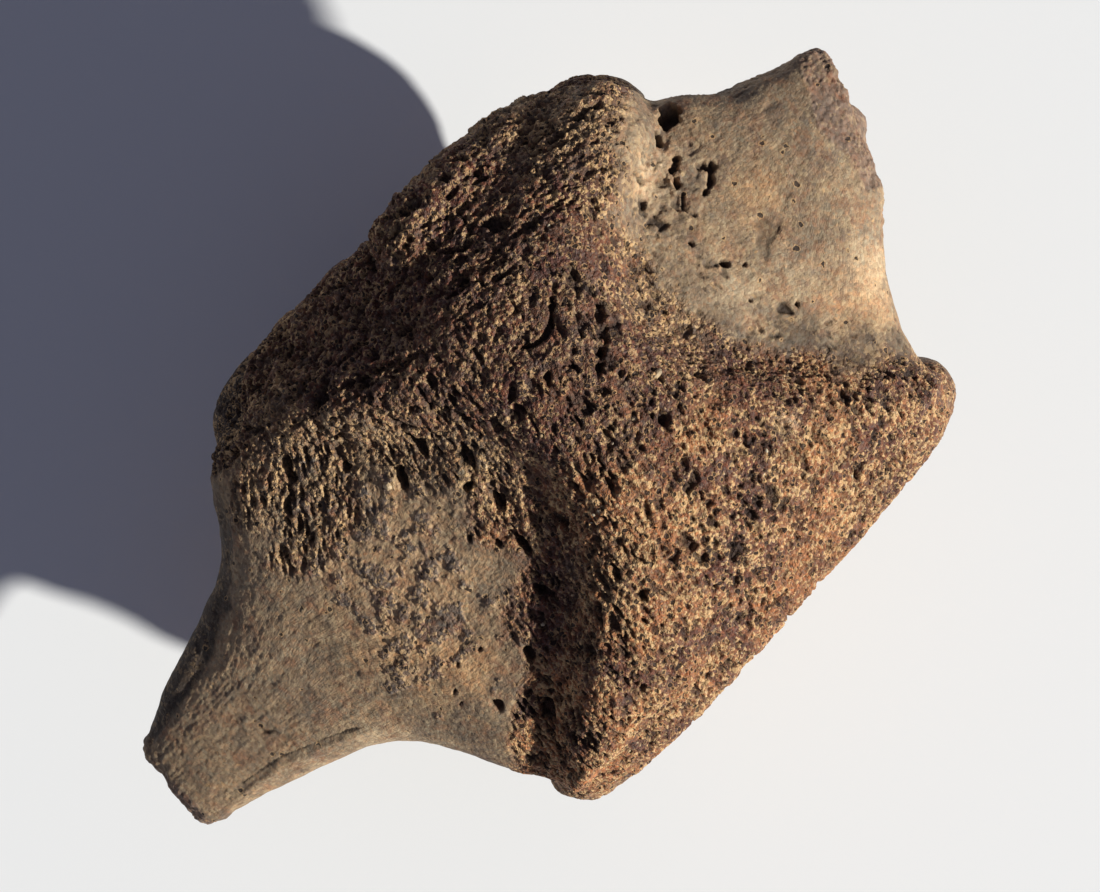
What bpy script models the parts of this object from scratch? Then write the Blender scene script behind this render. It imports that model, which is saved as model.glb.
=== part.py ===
"""A small whale's vertebra, lying with its keeled belly side up.

The bone is modelled whole: a spool for the centrum, a bow-tie of keel and
ridges on top of it, two sloping transverse processes, and the two broken feet
of the neural arch, which it rests on.  The forms are united, remeshed and
smoothed into one bone, which thin cuts then part into its named pieces.

Metres, +Z up.  +X is the animal's left and +Y its head end.  The sizes are in
the bone's own frame, whose X = 0 and Y = 0 lie in the middle of the centrum.
An empty carries that frame, so that the box of the whole bone is centred on
the world's origin and the feet rest at Z = 0.
"""

import math

import bmesh
import bpy
from mathutils import Matrix, Vector

# ---------------------------------------------------------------- sizes
# Centrum: a spool along Y, wide at both ends and narrow at the waist.
CRANIAL_Y = 0.0350
CAUDAL_Y = -0.0348
CRANIAL_HALF_WIDTH = 0.0361
CAUDAL_HALF_WIDTH = 0.0374
CAUDAL_SHIFT_X = -0.0014
WAIST_HALF_WIDTH = 0.0250
SPOOL_CRANIAL_TOP = 0.0450
SPOOL_CAUDAL_TOP = 0.0485
SPOOL_END_BOTTOM = -0.0020
SPOOL_WAIST_TOP = 0.0475
SPOOL_WAIST_BOTTOM = 0.0020
SPOOL_FLARE = 2.4
SPOOL_SQUARENESS = 2.15
CRANIAL_TILT = -0.105
CRANIAL_ROUND = 0.0095
CAUDAL_ROUND = 0.0062

# Keel and ridges: a bow-tie seen from above.  Each row is the place along Y,
# the crest on the right and on the left of the keel, and the height there.
BOW_TIE_ROWS = (
    (-0.0300, -0.0368, 0.0338, 0.0485),
    (-0.0240, -0.0325, 0.0318, 0.0536),
    (-0.0160, -0.0225, 0.0245, 0.0575),
    (-0.0080, -0.0150, 0.0165, 0.0598),
    (0.0000, -0.0115, 0.0140, 0.0602),
    (0.0080, -0.0125, 0.0160, 0.0598),
    (0.0140, -0.0175, 0.0240, 0.0577),
    (0.0190, -0.0250, 0.0310, 0.0547),
    (0.0240, -0.0310, 0.0335, 0.0502),
    (0.0290, -0.0320, 0.0325, 0.0440),
)
BOW_TIE_KEEL_LINE = 0.0360
BOW_TIE_SQUARENESS = 2.7

# The head end's slope is fuller on the left: there it rises toward the rim, and
# leans in as it rises.  It fades in and out between the four places along X.
SHOULDER_RISE = 0.0106
SHOULDER_FROM_Y = 0.0120
SHOULDER_TO_Y = 0.0330
SHOULDER_POWER = 1.15
SHOULDER_SIDES = (-0.0160, 0.0040, 0.0290, 0.0370)
SHOULDER_LOW_Z = 0.0140
SHOULDER_HIGH_Z = 0.0380
SHOULDER_LEAN_X = -0.060
SHOULDER_LEAN_Y = -0.095

# Transverse processes: blades that slope down from the keel.  Each row is the
# distance out from the centrum's axis, the blade's caudal and cranial edges,
# the height of its top, and its thickness.
RIGHT_PROCESS_ROWS = (
    (0.0030, -0.0200, 0.0220, 0.0555, 0.0150),
    (0.0120, -0.0220, 0.0240, 0.0528, 0.0150),
    (0.0190, -0.0260, 0.0270, 0.0490, 0.0150),
    (0.0270, -0.0290, 0.0305, 0.0455, 0.0150),
    (0.0345, -0.0292, 0.0325, 0.0422, 0.0150),
    (0.0385, -0.0242, 0.0306, 0.0403, 0.0145),
    (0.0410, -0.0171, 0.0268, 0.0392, 0.0140),
    (0.0435, -0.0120, 0.0232, 0.0380, 0.0134),
    (0.0480, -0.0077, 0.0194, 0.0360, 0.0124),
    (0.0550, -0.0050, 0.0172, 0.0322, 0.0106),
    (0.0640, -0.0016, 0.0158, 0.0276, 0.0084),
    (0.0722, 0.0008, 0.0148, 0.0236, 0.0066),
)
LEFT_PROCESS_ROWS = (
    (0.0030, -0.0200, 0.0140, 0.0550, 0.0150),
    (0.0180, -0.0240, 0.0170, 0.0507, 0.0150),
    (0.0310, -0.0275, 0.0200, 0.0472, 0.0150),
    (0.0350, -0.0240, 0.0190, 0.0466, 0.0142),
    (0.0385, -0.0172, 0.0150, 0.0461, 0.0134),
    (0.0440, -0.0118, 0.0120, 0.0452, 0.0120),
    (0.0498, -0.0075, 0.0098, 0.0440, 0.0098),
)
PROCESS_SQUARENESS = 2.6
RIGHT_TIP_SKEW = 0.0012
LEFT_TIP_SKEW = 0.0040

# Feet of the neural arch: long low bars, broken off flat where the bone rests.
FOOT_HALF_SPACING = 0.0165
FOOT_MIDDLE_Y = 0.0060
FOOT_HALF_LENGTH = 0.0190
FOOT_HALF_WIDTH = 0.0042
FOOT_ROOT_HALF_WIDTH = 0.0066
FOOT_MIDDLE_SHARE = 0.35
FOOT_SPREAD = 2.0
FOOT_SQUARENESS = 2.8
FOOT_ROOT_Z = 0.0050
FOOT_LOW_Z = -0.0090
FOOT_BREAK_Z = -0.0080

# Blending of the united forms, and the cuts that part the bone.
FINE_VOXEL = 0.0012
BLEND_ROUNDS = 10
FACET_SHARE = 0.165
CUT_GAP = 0.0003
PROCESS_CUT_OUT = 0.0250
PROCESS_CUT_RADIUS = 0.0460
PROCESS_CUT_Y = 0.0040
PROCESS_CUT_Z = 0.0500
PROCESS_CUT_LEAN = math.radians(14.0)
FOOT_CUT_Z = -0.0028
FOOT_CUT_HALF_LENGTH = 0.0222
CUTTER_REACH = 0.2000

# Fineness of the lofts and cutters.
RING_POINTS = 40
SPOOL_STATIONS = 13
BOW_TIE_STATIONS = 26
ROUND_STATIONS = 5
DRUM_SIDES = 64

# Colours of the old, stained bone.
CENTRUM_BROWN = (0.070, 0.036, 0.024)
PROCESS_TAN = (0.190, 0.115, 0.066)
FOOT_BROWN = (0.110, 0.064, 0.038)
BONE_ROUGHNESS = 0.72


# ---------------------------------------------------------------- helpers
def clear_scene():
    """Remove what the opened file holds."""
    for found in list(bpy.data.objects):
        bpy.data.objects.remove(found, do_unlink=True)


def new_collection(name):
    """A collection in the scene."""
    made = bpy.data.collections.new(name)
    bpy.context.scene.collection.children.link(made)
    return made


def mix(start, end, share):
    """The value at a share of the way from start to end."""
    return start + (end - start) * share


def superellipse(half_a, half_b, squareness):
    """Points round a superellipse about the origin, anticlockwise."""
    power = 2.0 / squareness
    points = []
    for index in range(RING_POINTS):
        angle = math.tau * index / RING_POINTS
        a, b = math.cos(angle), math.sin(angle)
        points.append((math.copysign(abs(a) ** power, a) * half_a,
                       math.copysign(abs(b) ** power, b) * half_b))
    return points


def loft(name, rings, collection):
    """A closed body through rings of as many points each, with flat caps."""
    mesh = bmesh.new()
    rows = [[mesh.verts.new(point) for point in ring] for ring in rings]
    for lower, upper in zip(rows, rows[1:]):
        for index in range(len(lower)):
            after = (index + 1) % len(lower)
            mesh.faces.new((lower[index], lower[after], upper[after], upper[index]))
    mesh.faces.new(rows[0])
    mesh.faces.new(rows[-1])
    bmesh.ops.recalc_face_normals(mesh, faces=mesh.faces)
    data = bpy.data.meshes.new(name)
    mesh.to_mesh(data)
    mesh.free()
    made = bpy.data.objects.new(name, data)
    collection.objects.link(made)
    made.hide_render = True
    made.display_type = "WIRE"
    return made


def between_rows(rows, place):
    """The row of values at a place, read between the rows given."""
    if place <= rows[0][0]:
        return rows[0][1:]
    for index in range(len(rows) - 1):
        here, there = rows[index], rows[index + 1]
        if place <= there[0]:
            share = (place - here[0]) / (there[0] - here[0])
            return tuple(mix(a, b, share) for a, b in zip(here[1:], there[1:]))
    return rows[-1][1:]


# ---------------------------------------------------------------- the forms
def end_bend(x, y):
    """How far the tilted head end moves a point of the spool along Y."""
    toward_head = max(0.0, y / CRANIAL_Y)
    return CRANIAL_TILT * x * toward_head


def smooth_share(low, high, value):
    """A smooth rise from 0 at low to 1 at high."""
    share = min(1.0, max(0.0, (value - low) / (high - low)))
    return share * share * (3 - 2 * share)


def shouldered(x, y, z):
    """Where a point of the centrum lies with the head end's shoulder raised."""
    run = (y - SHOULDER_FROM_Y) / (SHOULDER_TO_Y - SHOULDER_FROM_Y)
    run = min(1.0, max(0.0, run)) ** SHOULDER_POWER
    side = (smooth_share(SHOULDER_SIDES[0], SHOULDER_SIDES[1], x)
            * (1 - smooth_share(SHOULDER_SIDES[2], SHOULDER_SIDES[3], x)))
    high = smooth_share(SHOULDER_LOW_Z, SHOULDER_HIGH_Z, z)
    rise = SHOULDER_RISE * run * side * high
    return (x + SHOULDER_LEAN_X * rise, y + SHOULDER_LEAN_Y * rise, z + rise)


def spool_ring(y, inset):
    """One section of the centrum, drawn in by inset."""
    widest = CRANIAL_Y - CRANIAL_ROUND if y > 0 else CAUDAL_Y + CAUDAL_ROUND
    flare = min(1.0, y / widest) ** SPOOL_FLARE
    end_width = CRANIAL_HALF_WIDTH if y > 0 else CAUDAL_HALF_WIDTH
    end_top = SPOOL_CRANIAL_TOP if y > 0 else SPOOL_CAUDAL_TOP
    half_width = mix(WAIST_HALF_WIDTH, end_width, flare) - inset
    top = mix(SPOOL_WAIST_TOP, end_top, flare) - inset
    bottom = mix(SPOOL_WAIST_BOTTOM, SPOOL_END_BOTTOM, flare) + inset
    middle = (top + bottom) / 2
    shift = 0.0 if y > 0 else CAUDAL_SHIFT_X * flare
    ring = []
    for a, b in superellipse(half_width, (top - bottom) / 2, SPOOL_SQUARENESS):
        x = a + shift
        ring.append(shouldered(x, y + end_bend(x, y), middle + b))
    return ring


def rounded_end(end_y, radius):
    """Places along Y and insets that round an end's rim."""
    outward = math.copysign(1.0, end_y)
    places = []
    for index in range(ROUND_STATIONS + 1):
        angle = math.pi / 2 * index / ROUND_STATIONS
        y = end_y - outward * radius * (1 - math.sin(angle))
        places.append((y, radius * (1 - math.cos(angle))))
    return places


def make_spool(collection):
    """The centrum's body, from its tail end to its head end."""
    caudal = rounded_end(CAUDAL_Y, CAUDAL_ROUND)
    cranial = rounded_end(CRANIAL_Y, CRANIAL_ROUND)
    stations = list(reversed(caudal))
    first, last = caudal[0][0], cranial[0][0]
    for index in range(1, SPOOL_STATIONS):
        stations.append((mix(first, last, index / SPOOL_STATIONS), 0.0))
    stations.extend(cranial)
    rings = [spool_ring(y, inset) for y, inset in stations]
    return loft("spool", rings, collection)


def make_bow_tie(collection):
    """The keel and the four ridges that run out to the rims' corners."""
    rings = []
    first, last = BOW_TIE_ROWS[0][0], BOW_TIE_ROWS[-1][0]
    for index in range(BOW_TIE_STATIONS + 1):
        y = mix(first, last, index / BOW_TIE_STATIONS)
        right, left, top = between_rows(BOW_TIE_ROWS, y)
        middle, half_width = (left + right) / 2, (left - right) / 2
        outline = superellipse(half_width, top - BOW_TIE_KEEL_LINE, BOW_TIE_SQUARENESS)
        ring = []
        for a, b in outline:
            x = middle + a
            ring.append(shouldered(x, y + end_bend(x, y), BOW_TIE_KEEL_LINE + b))
        rings.append(ring)
    return loft("bow_tie", rings, collection)


def make_process(name, rows, side, skew, collection):
    """A transverse process, from inside the centrum out to its broken tip."""
    rings = []
    root, tip = rows[0][0], rows[-1][0]
    steps = 2 * len(rows)
    for index in range(steps + 1):
        out = mix(root, tip, index / steps)
        caudal, cranial, top, thickness = between_rows(rows, out)
        middle, half_width = (cranial + caudal) / 2, (cranial - caudal) / 2
        outline = superellipse(half_width, thickness / 2, PROCESS_SQUARENESS)
        toward_tip = index / steps
        ring = []
        for a, b in outline:
            reach = out + skew * toward_tip * a / half_width
            ring.append((side * reach, middle + a, top - thickness / 2 + b))
        rings.append(ring)
    return loft(name, rings, collection)


def make_foot(name, side, collection):
    """The broken foot of one side of the neural arch."""
    rings = []
    middle_half_width = mix(FOOT_HALF_WIDTH, FOOT_ROOT_HALF_WIDTH, FOOT_MIDDLE_SHARE)
    for height, half_width in ((FOOT_LOW_Z, FOOT_HALF_WIDTH),
                               (mix(FOOT_LOW_Z, FOOT_ROOT_Z, 0.5), middle_half_width),
                               (FOOT_ROOT_Z, FOOT_ROOT_HALF_WIDTH)):
        half_length = FOOT_HALF_LENGTH + (half_width - FOOT_HALF_WIDTH) * FOOT_SPREAD
        outline = superellipse(half_width, half_length, FOOT_SQUARENESS)
        rings.append([(side * FOOT_HALF_SPACING + a, FOOT_MIDDLE_Y + b, height)
                      for a, b in outline])
    return loft(name, rings, collection)


# ---------------------------------------------------------------- the bone
def evaluated_copy(source, name, collection):
    """A new object with the mesh that the source's modifiers give."""
    graph = bpy.context.evaluated_depsgraph_get()
    data = bpy.data.meshes.new_from_object(source.evaluated_get(graph))
    data.name = name
    made = bpy.data.objects.new(name, data)
    collection.objects.link(made)
    return made


def add_boolean(target, cutter, operation):
    """A Boolean modifier with the exact solver."""
    modifier = target.modifiers.new(cutter.name, "BOOLEAN")
    modifier.operation = operation
    modifier.object = cutter
    modifier.solver = "EXACT"


def add_remesh(target, voxel):
    """A voxel remesh of the whole surface."""
    modifier = target.modifiers.new("remesh", "REMESH")
    modifier.mode = "VOXEL"
    modifier.voxel_size = voxel
    modifier.adaptivity = 0.0


def add_smooth(target, rounds):
    """An even smoothing that blends the forms."""
    modifier = target.modifiers.new("blend", "SMOOTH")
    modifier.factor = 0.5
    modifier.iterations = rounds


def add_facets(target, share):
    """Fewer and larger facets, with the shape kept."""
    modifier = target.modifiers.new("facets", "DECIMATE")
    modifier.decimate_type = "COLLAPSE"
    modifier.ratio = share
    modifier.use_collapse_triangulate = True


def make_whole_bone(cutters):
    """The forms united and blended into one bone."""
    base = make_spool(cutters)
    forms = [
        make_bow_tie(cutters),
        make_process("right_blade", RIGHT_PROCESS_ROWS, -1, -RIGHT_TIP_SKEW, cutters),
        make_process("left_blade", LEFT_PROCESS_ROWS, 1, LEFT_TIP_SKEW, cutters),
        make_foot("right_foot", -1, cutters),
        make_foot("left_foot", 1, cutters),
    ]
    for form in forms:
        add_boolean(base, form, "UNION")
    add_remesh(base, FINE_VOXEL)
    add_smooth(base, BLEND_ROUNDS)
    add_facets(base, FACET_SHARE)
    bone = evaluated_copy(base, "whole_bone", cutters)
    for form in [base] + forms:
        bpy.data.objects.remove(form, do_unlink=True)
    bone.hide_render = True
    bone.display_type = "WIRE"
    return bone


def resting_place(bone):
    """Where the bone's own origin lies, with its box centred and its feet's breaks at Z = 0."""
    corners = [Vector(corner) for corner in bone.bound_box]
    middle = sum(corners, Vector()) / len(corners)
    return Vector((-middle.x, -middle.y, -FOOT_BREAK_Z))


# ---------------------------------------------------------------- the cuts
def box_cutter(name, low, high, collection):
    """A box between two corners."""
    bpy.ops.mesh.primitive_cube_add(size=1.0)
    made = bpy.context.active_object
    made.name = name
    size = Vector(high) - Vector(low)
    made.data.transform(Matrix.Diagonal(size.to_4d()))
    made.location = (Vector(high) + Vector(low)) / 2
    keep_as_cutter(made, collection)
    return made


def drum_cutter(name, side, radius, collection):
    """A leaning drum that holds one transverse process."""
    bpy.ops.mesh.primitive_cylinder_add(vertices=DRUM_SIDES, radius=radius, depth=CUTTER_REACH)
    made = bpy.context.active_object
    made.name = name
    centre_out = PROCESS_CUT_OUT + PROCESS_CUT_RADIUS
    made.location = (side * centre_out, PROCESS_CUT_Y, PROCESS_CUT_Z)
    made.rotation_euler = (0.0, -side * PROCESS_CUT_LEAN, 0.0)
    keep_as_cutter(made, collection)
    return made


def keep_as_cutter(made, collection):
    """Show a cutter as wire and keep it out of renders."""
    for holder in list(made.users_collection):
        holder.objects.unlink(made)
    collection.objects.link(made)
    made.hide_render = True
    made.display_type = "WIRE"


def make_node(name, bone, colour, steps, collection):
    """One named piece: the whole bone, its own material, and its cuts in order."""
    made = bpy.data.objects.new(name, bone.data.copy())
    collection.objects.link(made)
    made.data.materials.append(bone_material(name, colour))
    for cutter, operation in steps:
        add_boolean(made, cutter, operation)
    return made


def bone_material(name, colour):
    """A dull bone colour."""
    material = bpy.data.materials.new(name + "_bone")
    material.use_nodes = True
    shader = material.node_tree.nodes["Principled BSDF"]
    shader.inputs["Base Color"].default_value = (*colour, 1.0)
    shader.inputs["Roughness"].default_value = BONE_ROUGHNESS
    shader.inputs["Metallic"].default_value = 0.0
    material.diffuse_color = (*colour, 1.0)
    return material


def part_process(side_name, side, bone, pieces, cutters):
    """Cut a transverse process off, and return the cut that leaves its gap."""
    inner = drum_cutter("drum_" + side_name, side, PROCESS_CUT_RADIUS, cutters)
    outer = drum_cutter("drum_gap_" + side_name, side, PROCESS_CUT_RADIUS + CUT_GAP, cutters)
    make_node("transverse_process_" + side_name, bone, PROCESS_TAN,
              [(inner, "INTERSECT")], pieces)
    return outer


def part_foot(side_name, side, bone, pieces, cutters):
    """Cut a foot of the neural arch off, and return the cut that leaves its gap."""
    near, far = sorted((0.0, side * CUTTER_REACH))
    low_y, high_y = FOOT_MIDDLE_Y - FOOT_CUT_HALF_LENGTH, FOOT_MIDDLE_Y + FOOT_CUT_HALF_LENGTH
    block = box_cutter("foot_block_" + side_name, (near, low_y, FOOT_BREAK_Z),
                       (far, high_y, FOOT_CUT_Z), cutters)
    gap = box_cutter("foot_gap_" + side_name, (near, low_y - CUT_GAP, -CUTTER_REACH),
                     (far, high_y + CUT_GAP, FOOT_CUT_Z + CUT_GAP), cutters)
    make_node("neural_arch_foot_" + side_name, bone, FOOT_BROWN,
              [(block, "INTERSECT")], pieces)
    return gap


def main():
    """Model the bone, part it, and set it on its feet."""
    clear_scene()
    pieces = new_collection("whale_vertebra")
    cutters = new_collection("cutters")
    bone = make_whole_bone(cutters)

    gaps = []
    for side_name, side in (("left", 1), ("right", -1)):
        gaps.append(part_process(side_name, side, bone, pieces, cutters))
        gaps.append(part_foot(side_name, side, bone, pieces, cutters))
    make_node("centrum", bone, CENTRUM_BROWN, [(gap, "DIFFERENCE") for gap in gaps], pieces)

    bone_frame = bpy.data.objects.new("bone_frame", None)
    bone_frame.location = resting_place(bone)
    for made in list(pieces.objects) + list(cutters.objects):
        made.parent = bone_frame
    pieces.objects.link(bone_frame)


if __name__ == "__main__":
    main()
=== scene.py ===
"""Looks of a small whale's vertebra that lies keel side up.

One skin stands for the five solids of the bone, so that no seam shows.  The
skin is closed over the solids, smoothed, and carved with the pores, slots,
cracks and fibres of old bone.  Its relief is worked out in the bone's own
frame, in millimetres: X = 0 and Y = 0 lie in the middle of the centrum, +X is
the animal's left, +Y its head end, and +Z its keeled belly side.
"""
import logging
import math
import random
from dataclasses import dataclass, field
from enum import Enum

import bmesh
import bpy
import numpy as np
from mathutils import Matrix, Vector


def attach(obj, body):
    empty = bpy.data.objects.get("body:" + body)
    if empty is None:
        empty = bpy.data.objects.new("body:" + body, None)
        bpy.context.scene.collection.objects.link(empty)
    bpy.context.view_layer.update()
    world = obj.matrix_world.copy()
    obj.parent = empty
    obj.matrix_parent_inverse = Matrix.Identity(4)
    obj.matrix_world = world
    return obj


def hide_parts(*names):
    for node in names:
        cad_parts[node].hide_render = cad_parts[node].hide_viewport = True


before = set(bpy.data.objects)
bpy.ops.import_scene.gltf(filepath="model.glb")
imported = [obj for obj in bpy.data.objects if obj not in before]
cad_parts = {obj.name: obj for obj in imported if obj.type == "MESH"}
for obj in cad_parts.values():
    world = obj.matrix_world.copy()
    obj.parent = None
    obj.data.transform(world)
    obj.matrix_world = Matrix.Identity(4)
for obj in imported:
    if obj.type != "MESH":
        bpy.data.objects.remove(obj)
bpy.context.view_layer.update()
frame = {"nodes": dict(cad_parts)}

LOG = logging.getLogger("vertebra")
Array = np.ndarray
Colour = tuple[float, float, float]
Place = tuple[float, float, float]
Spot = tuple[float, float]
Line = tuple[Spot, ...]
Span = tuple[float, float]

MM = 0.001
BONE_ORIGIN = (0.0100, -0.00145, 0.0080)


# ------------------------------------------------------------------ numbers
def smoothstep(low: float, high: float, value: Array) -> Array:
    """A smooth rise from 0 at low to 1 at high."""
    share = np.clip((value - low) / (high - low), 0.0, 1.0)
    return share * share * (3.0 - 2.0 * share)


def blend(start: Array, end: Array, share: Array) -> Array:
    """The value at a share of the way from start to end."""
    return start + (end - start) * share


def ramp(span: Span, value: Array) -> Array:
    """A smooth rise from 0 to 1 over a span."""
    return smoothstep(span[0], span[1], value)


def off_segment(x: Array, y: Array, start: Spot, end: Spot) -> Array:
    """Distance from a straight piece of a line, seen from the keel side.

    Args:
        x, y: the points, in millimetres.
        start, end: the two ends of the piece.

    Returns:
        One distance for each point.
    """
    x0, y0 = start
    dx, dy = end[0] - x0, end[1] - y0
    share = np.clip(((x - x0) * dx + (y - y0) * dy) / (dx * dx + dy * dy), 0.0, 1.0)
    return np.hypot(x - x0 - share * dx, y - y0 - share * dy)


def rows(items: bpy.types.bpy_prop_collection, name: str, width: int) -> Array:
    """One named value of all items of a mesh, as rows of so many numbers."""
    values = np.empty(len(items) * width, np.float32)
    items.foreach_get(name, values)
    return values.reshape(-1, width)


def edge_ends(mesh: bpy.types.Mesh) -> Array:
    """The numbers of the two points of each edge."""
    ends = np.empty(len(mesh.edges) * 2, np.int32)
    mesh.edges.foreach_get("vertices", ends)
    return ends.reshape(-1, 2)


@dataclass(frozen=True)
class Noise:
    """Seeded noise over points in space.

    Attributes:
        seed: picks one pattern out of many.
    """

    seed: int

    def scatter(self, cell: Array, salt: int) -> Array:
        """A number from 0 to 1 for each lattice cell.

        Args:
            cell: whole numbers, one row of three for each point.
            salt: picks one of several numbers for the same cell.

        Returns:
            One number for each row.
        """
        c = cell.astype(np.uint32)
        mixed = c[:, 0] * np.uint32(374761393) + c[:, 1] * np.uint32(668265263)
        mixed += c[:, 2] * np.uint32(2246822519)
        mixed += np.uint32((self.seed * 3266489917 + salt * 974634777) % 2**32)
        mixed = (mixed ^ (mixed >> np.uint32(15))) * np.uint32(2246822519)
        mixed = (mixed ^ (mixed >> np.uint32(13))) * np.uint32(3266489917)
        mixed ^= mixed >> np.uint32(16)
        return (mixed >> np.uint32(8)).astype(np.float32) / np.float32(2**24)

    def value(self, points: Array) -> Array:
        """Smooth noise from -1 to 1 with one lump to each unit of the points."""
        low = np.floor(points).astype(np.int32)
        share = (points - low).astype(np.float32)
        share = share * share * (3.0 - 2.0 * share)
        total = np.zeros(len(points), np.float32)
        for corner in np.ndindex(2, 2, 2):
            weight = np.ones(len(points), np.float32)
            for axis in range(3):
                weight *= share[:, axis] if corner[axis] else 1.0 - share[:, axis]
            total += weight * self.scatter(low + np.array(corner, np.int32), 1)
        return total * 2.0 - 1.0

    def fractal(self, points: Array, octaves: int = 3, keep: float = 0.5) -> Array:
        """Noise with finer and weaker noise added to it.

        Args:
            points: places, in units of the coarsest lump.
            octaves: how many sizes of lump.
            keep: strength of each finer size beside the one before.

        Returns:
            One number for each point, about -1 to 1.
        """
        total = np.zeros(len(points), np.float32)
        strength, sum_of_strengths = 1.0, 0.0
        for octave in range(octaves):
            layer = Noise(self.seed + 17 * octave)
            total += strength * layer.value(points * 2.0**octave + 5.3 * octave)
            sum_of_strengths += strength
            strength *= keep
        return total / sum_of_strengths * 1.4

    def cells(self, points: Array) -> tuple[Array, Array, Array]:
        """Distances to the nearest two of scattered seeds, one seed to a unit cell.

        Args:
            points: places, in units of a cell.

        Returns:
            The nearest distance, the second nearest, and the nearest seed's number.
        """
        base = np.floor(points - 0.5).astype(np.int32)
        first = np.full(len(points), 9.0, np.float32)
        second = first.copy()
        number = np.zeros(len(points), np.float32)
        for corner in np.ndindex(2, 2, 2):
            cell = base + np.array(corner, np.int32)
            away = np.zeros(len(points), np.float32)
            for axis in range(3):
                seed_at = cell[:, axis] + 0.15 + 0.7 * self.scatter(cell, 3 + axis)
                away += (points[:, axis] - seed_at) ** 2
            away = np.sqrt(away)
            nearer = away < first
            second = np.where(nearer, first, np.minimum(second, away))
            first = np.where(nearer, away, first)
            number = np.where(nearer, self.scatter(cell, 9), number)
        return first, second, number


# ------------------------------------------------------------------ surface
@dataclass
class Surface:
    """The skin's points before they are carved, with what carving adds up.

    Attributes:
        points: places in the bone's own frame, in millimetres.
        normals: outward directions.
        lift: how far each point moves along its normal, in millimetres.
        cavity: how deep in a pore or pit a point lies, from 0 to 1; the material darkens it with
            painted shade.
        marks: other named masks, from 0 to 1.
        fan: places laid out so that the blades' fibres run along the first axis.
        edge: how much painted shade lies along an edge, from 0 to 1.
    """

    points: Array
    normals: Array
    lift: Array = field(init=False)
    cavity: Array = field(init=False)
    marks: dict[str, Array] = field(default_factory=dict)
    fan: Array = field(init=False)
    edge: Array = field(init=False)

    def __post_init__(self) -> None:
        """Start with nothing carved."""
        self.lift = np.zeros(len(self.points), np.float32)
        self.edge = np.zeros(len(self.points), np.float32)
        self.cavity = np.zeros(len(self.points), np.float32)
        self.fan = self.points

    @property
    def x(self) -> Array:
        """Toward the animal's left."""
        return self.points[:, 0]

    @property
    def y(self) -> Array:
        """Toward the head end."""
        return self.points[:, 1]

    @property
    def z(self) -> Array:
        """Toward the keel."""
        return self.points[:, 2]

    def away(self, at: Place) -> Array:
        """Each point's distance from a place."""
        return np.linalg.norm(self.points - np.array(at), axis=1)

    def sink(self, depth: Array, darkness: Array) -> None:
        """Carve inward, and mark what lies deep for painted shade.

        Args:
            depth: millimetres inward.
            darkness: how much painted shade it gets, from 0 to 1.
        """
        self.lift -= depth
        self.cavity = np.maximum(self.cavity, darkness)


class Zone(Enum):
    """Kinds of bone surface, each with its own relief and colour."""

    FACET = "facet"
    KEEL = "keel"
    SLOPE = "slope"
    WALL = "wall"
    END = "end"
    CHIP = "chip"
    VALLEY = "valley"
    BLADE = "blade"


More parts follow.
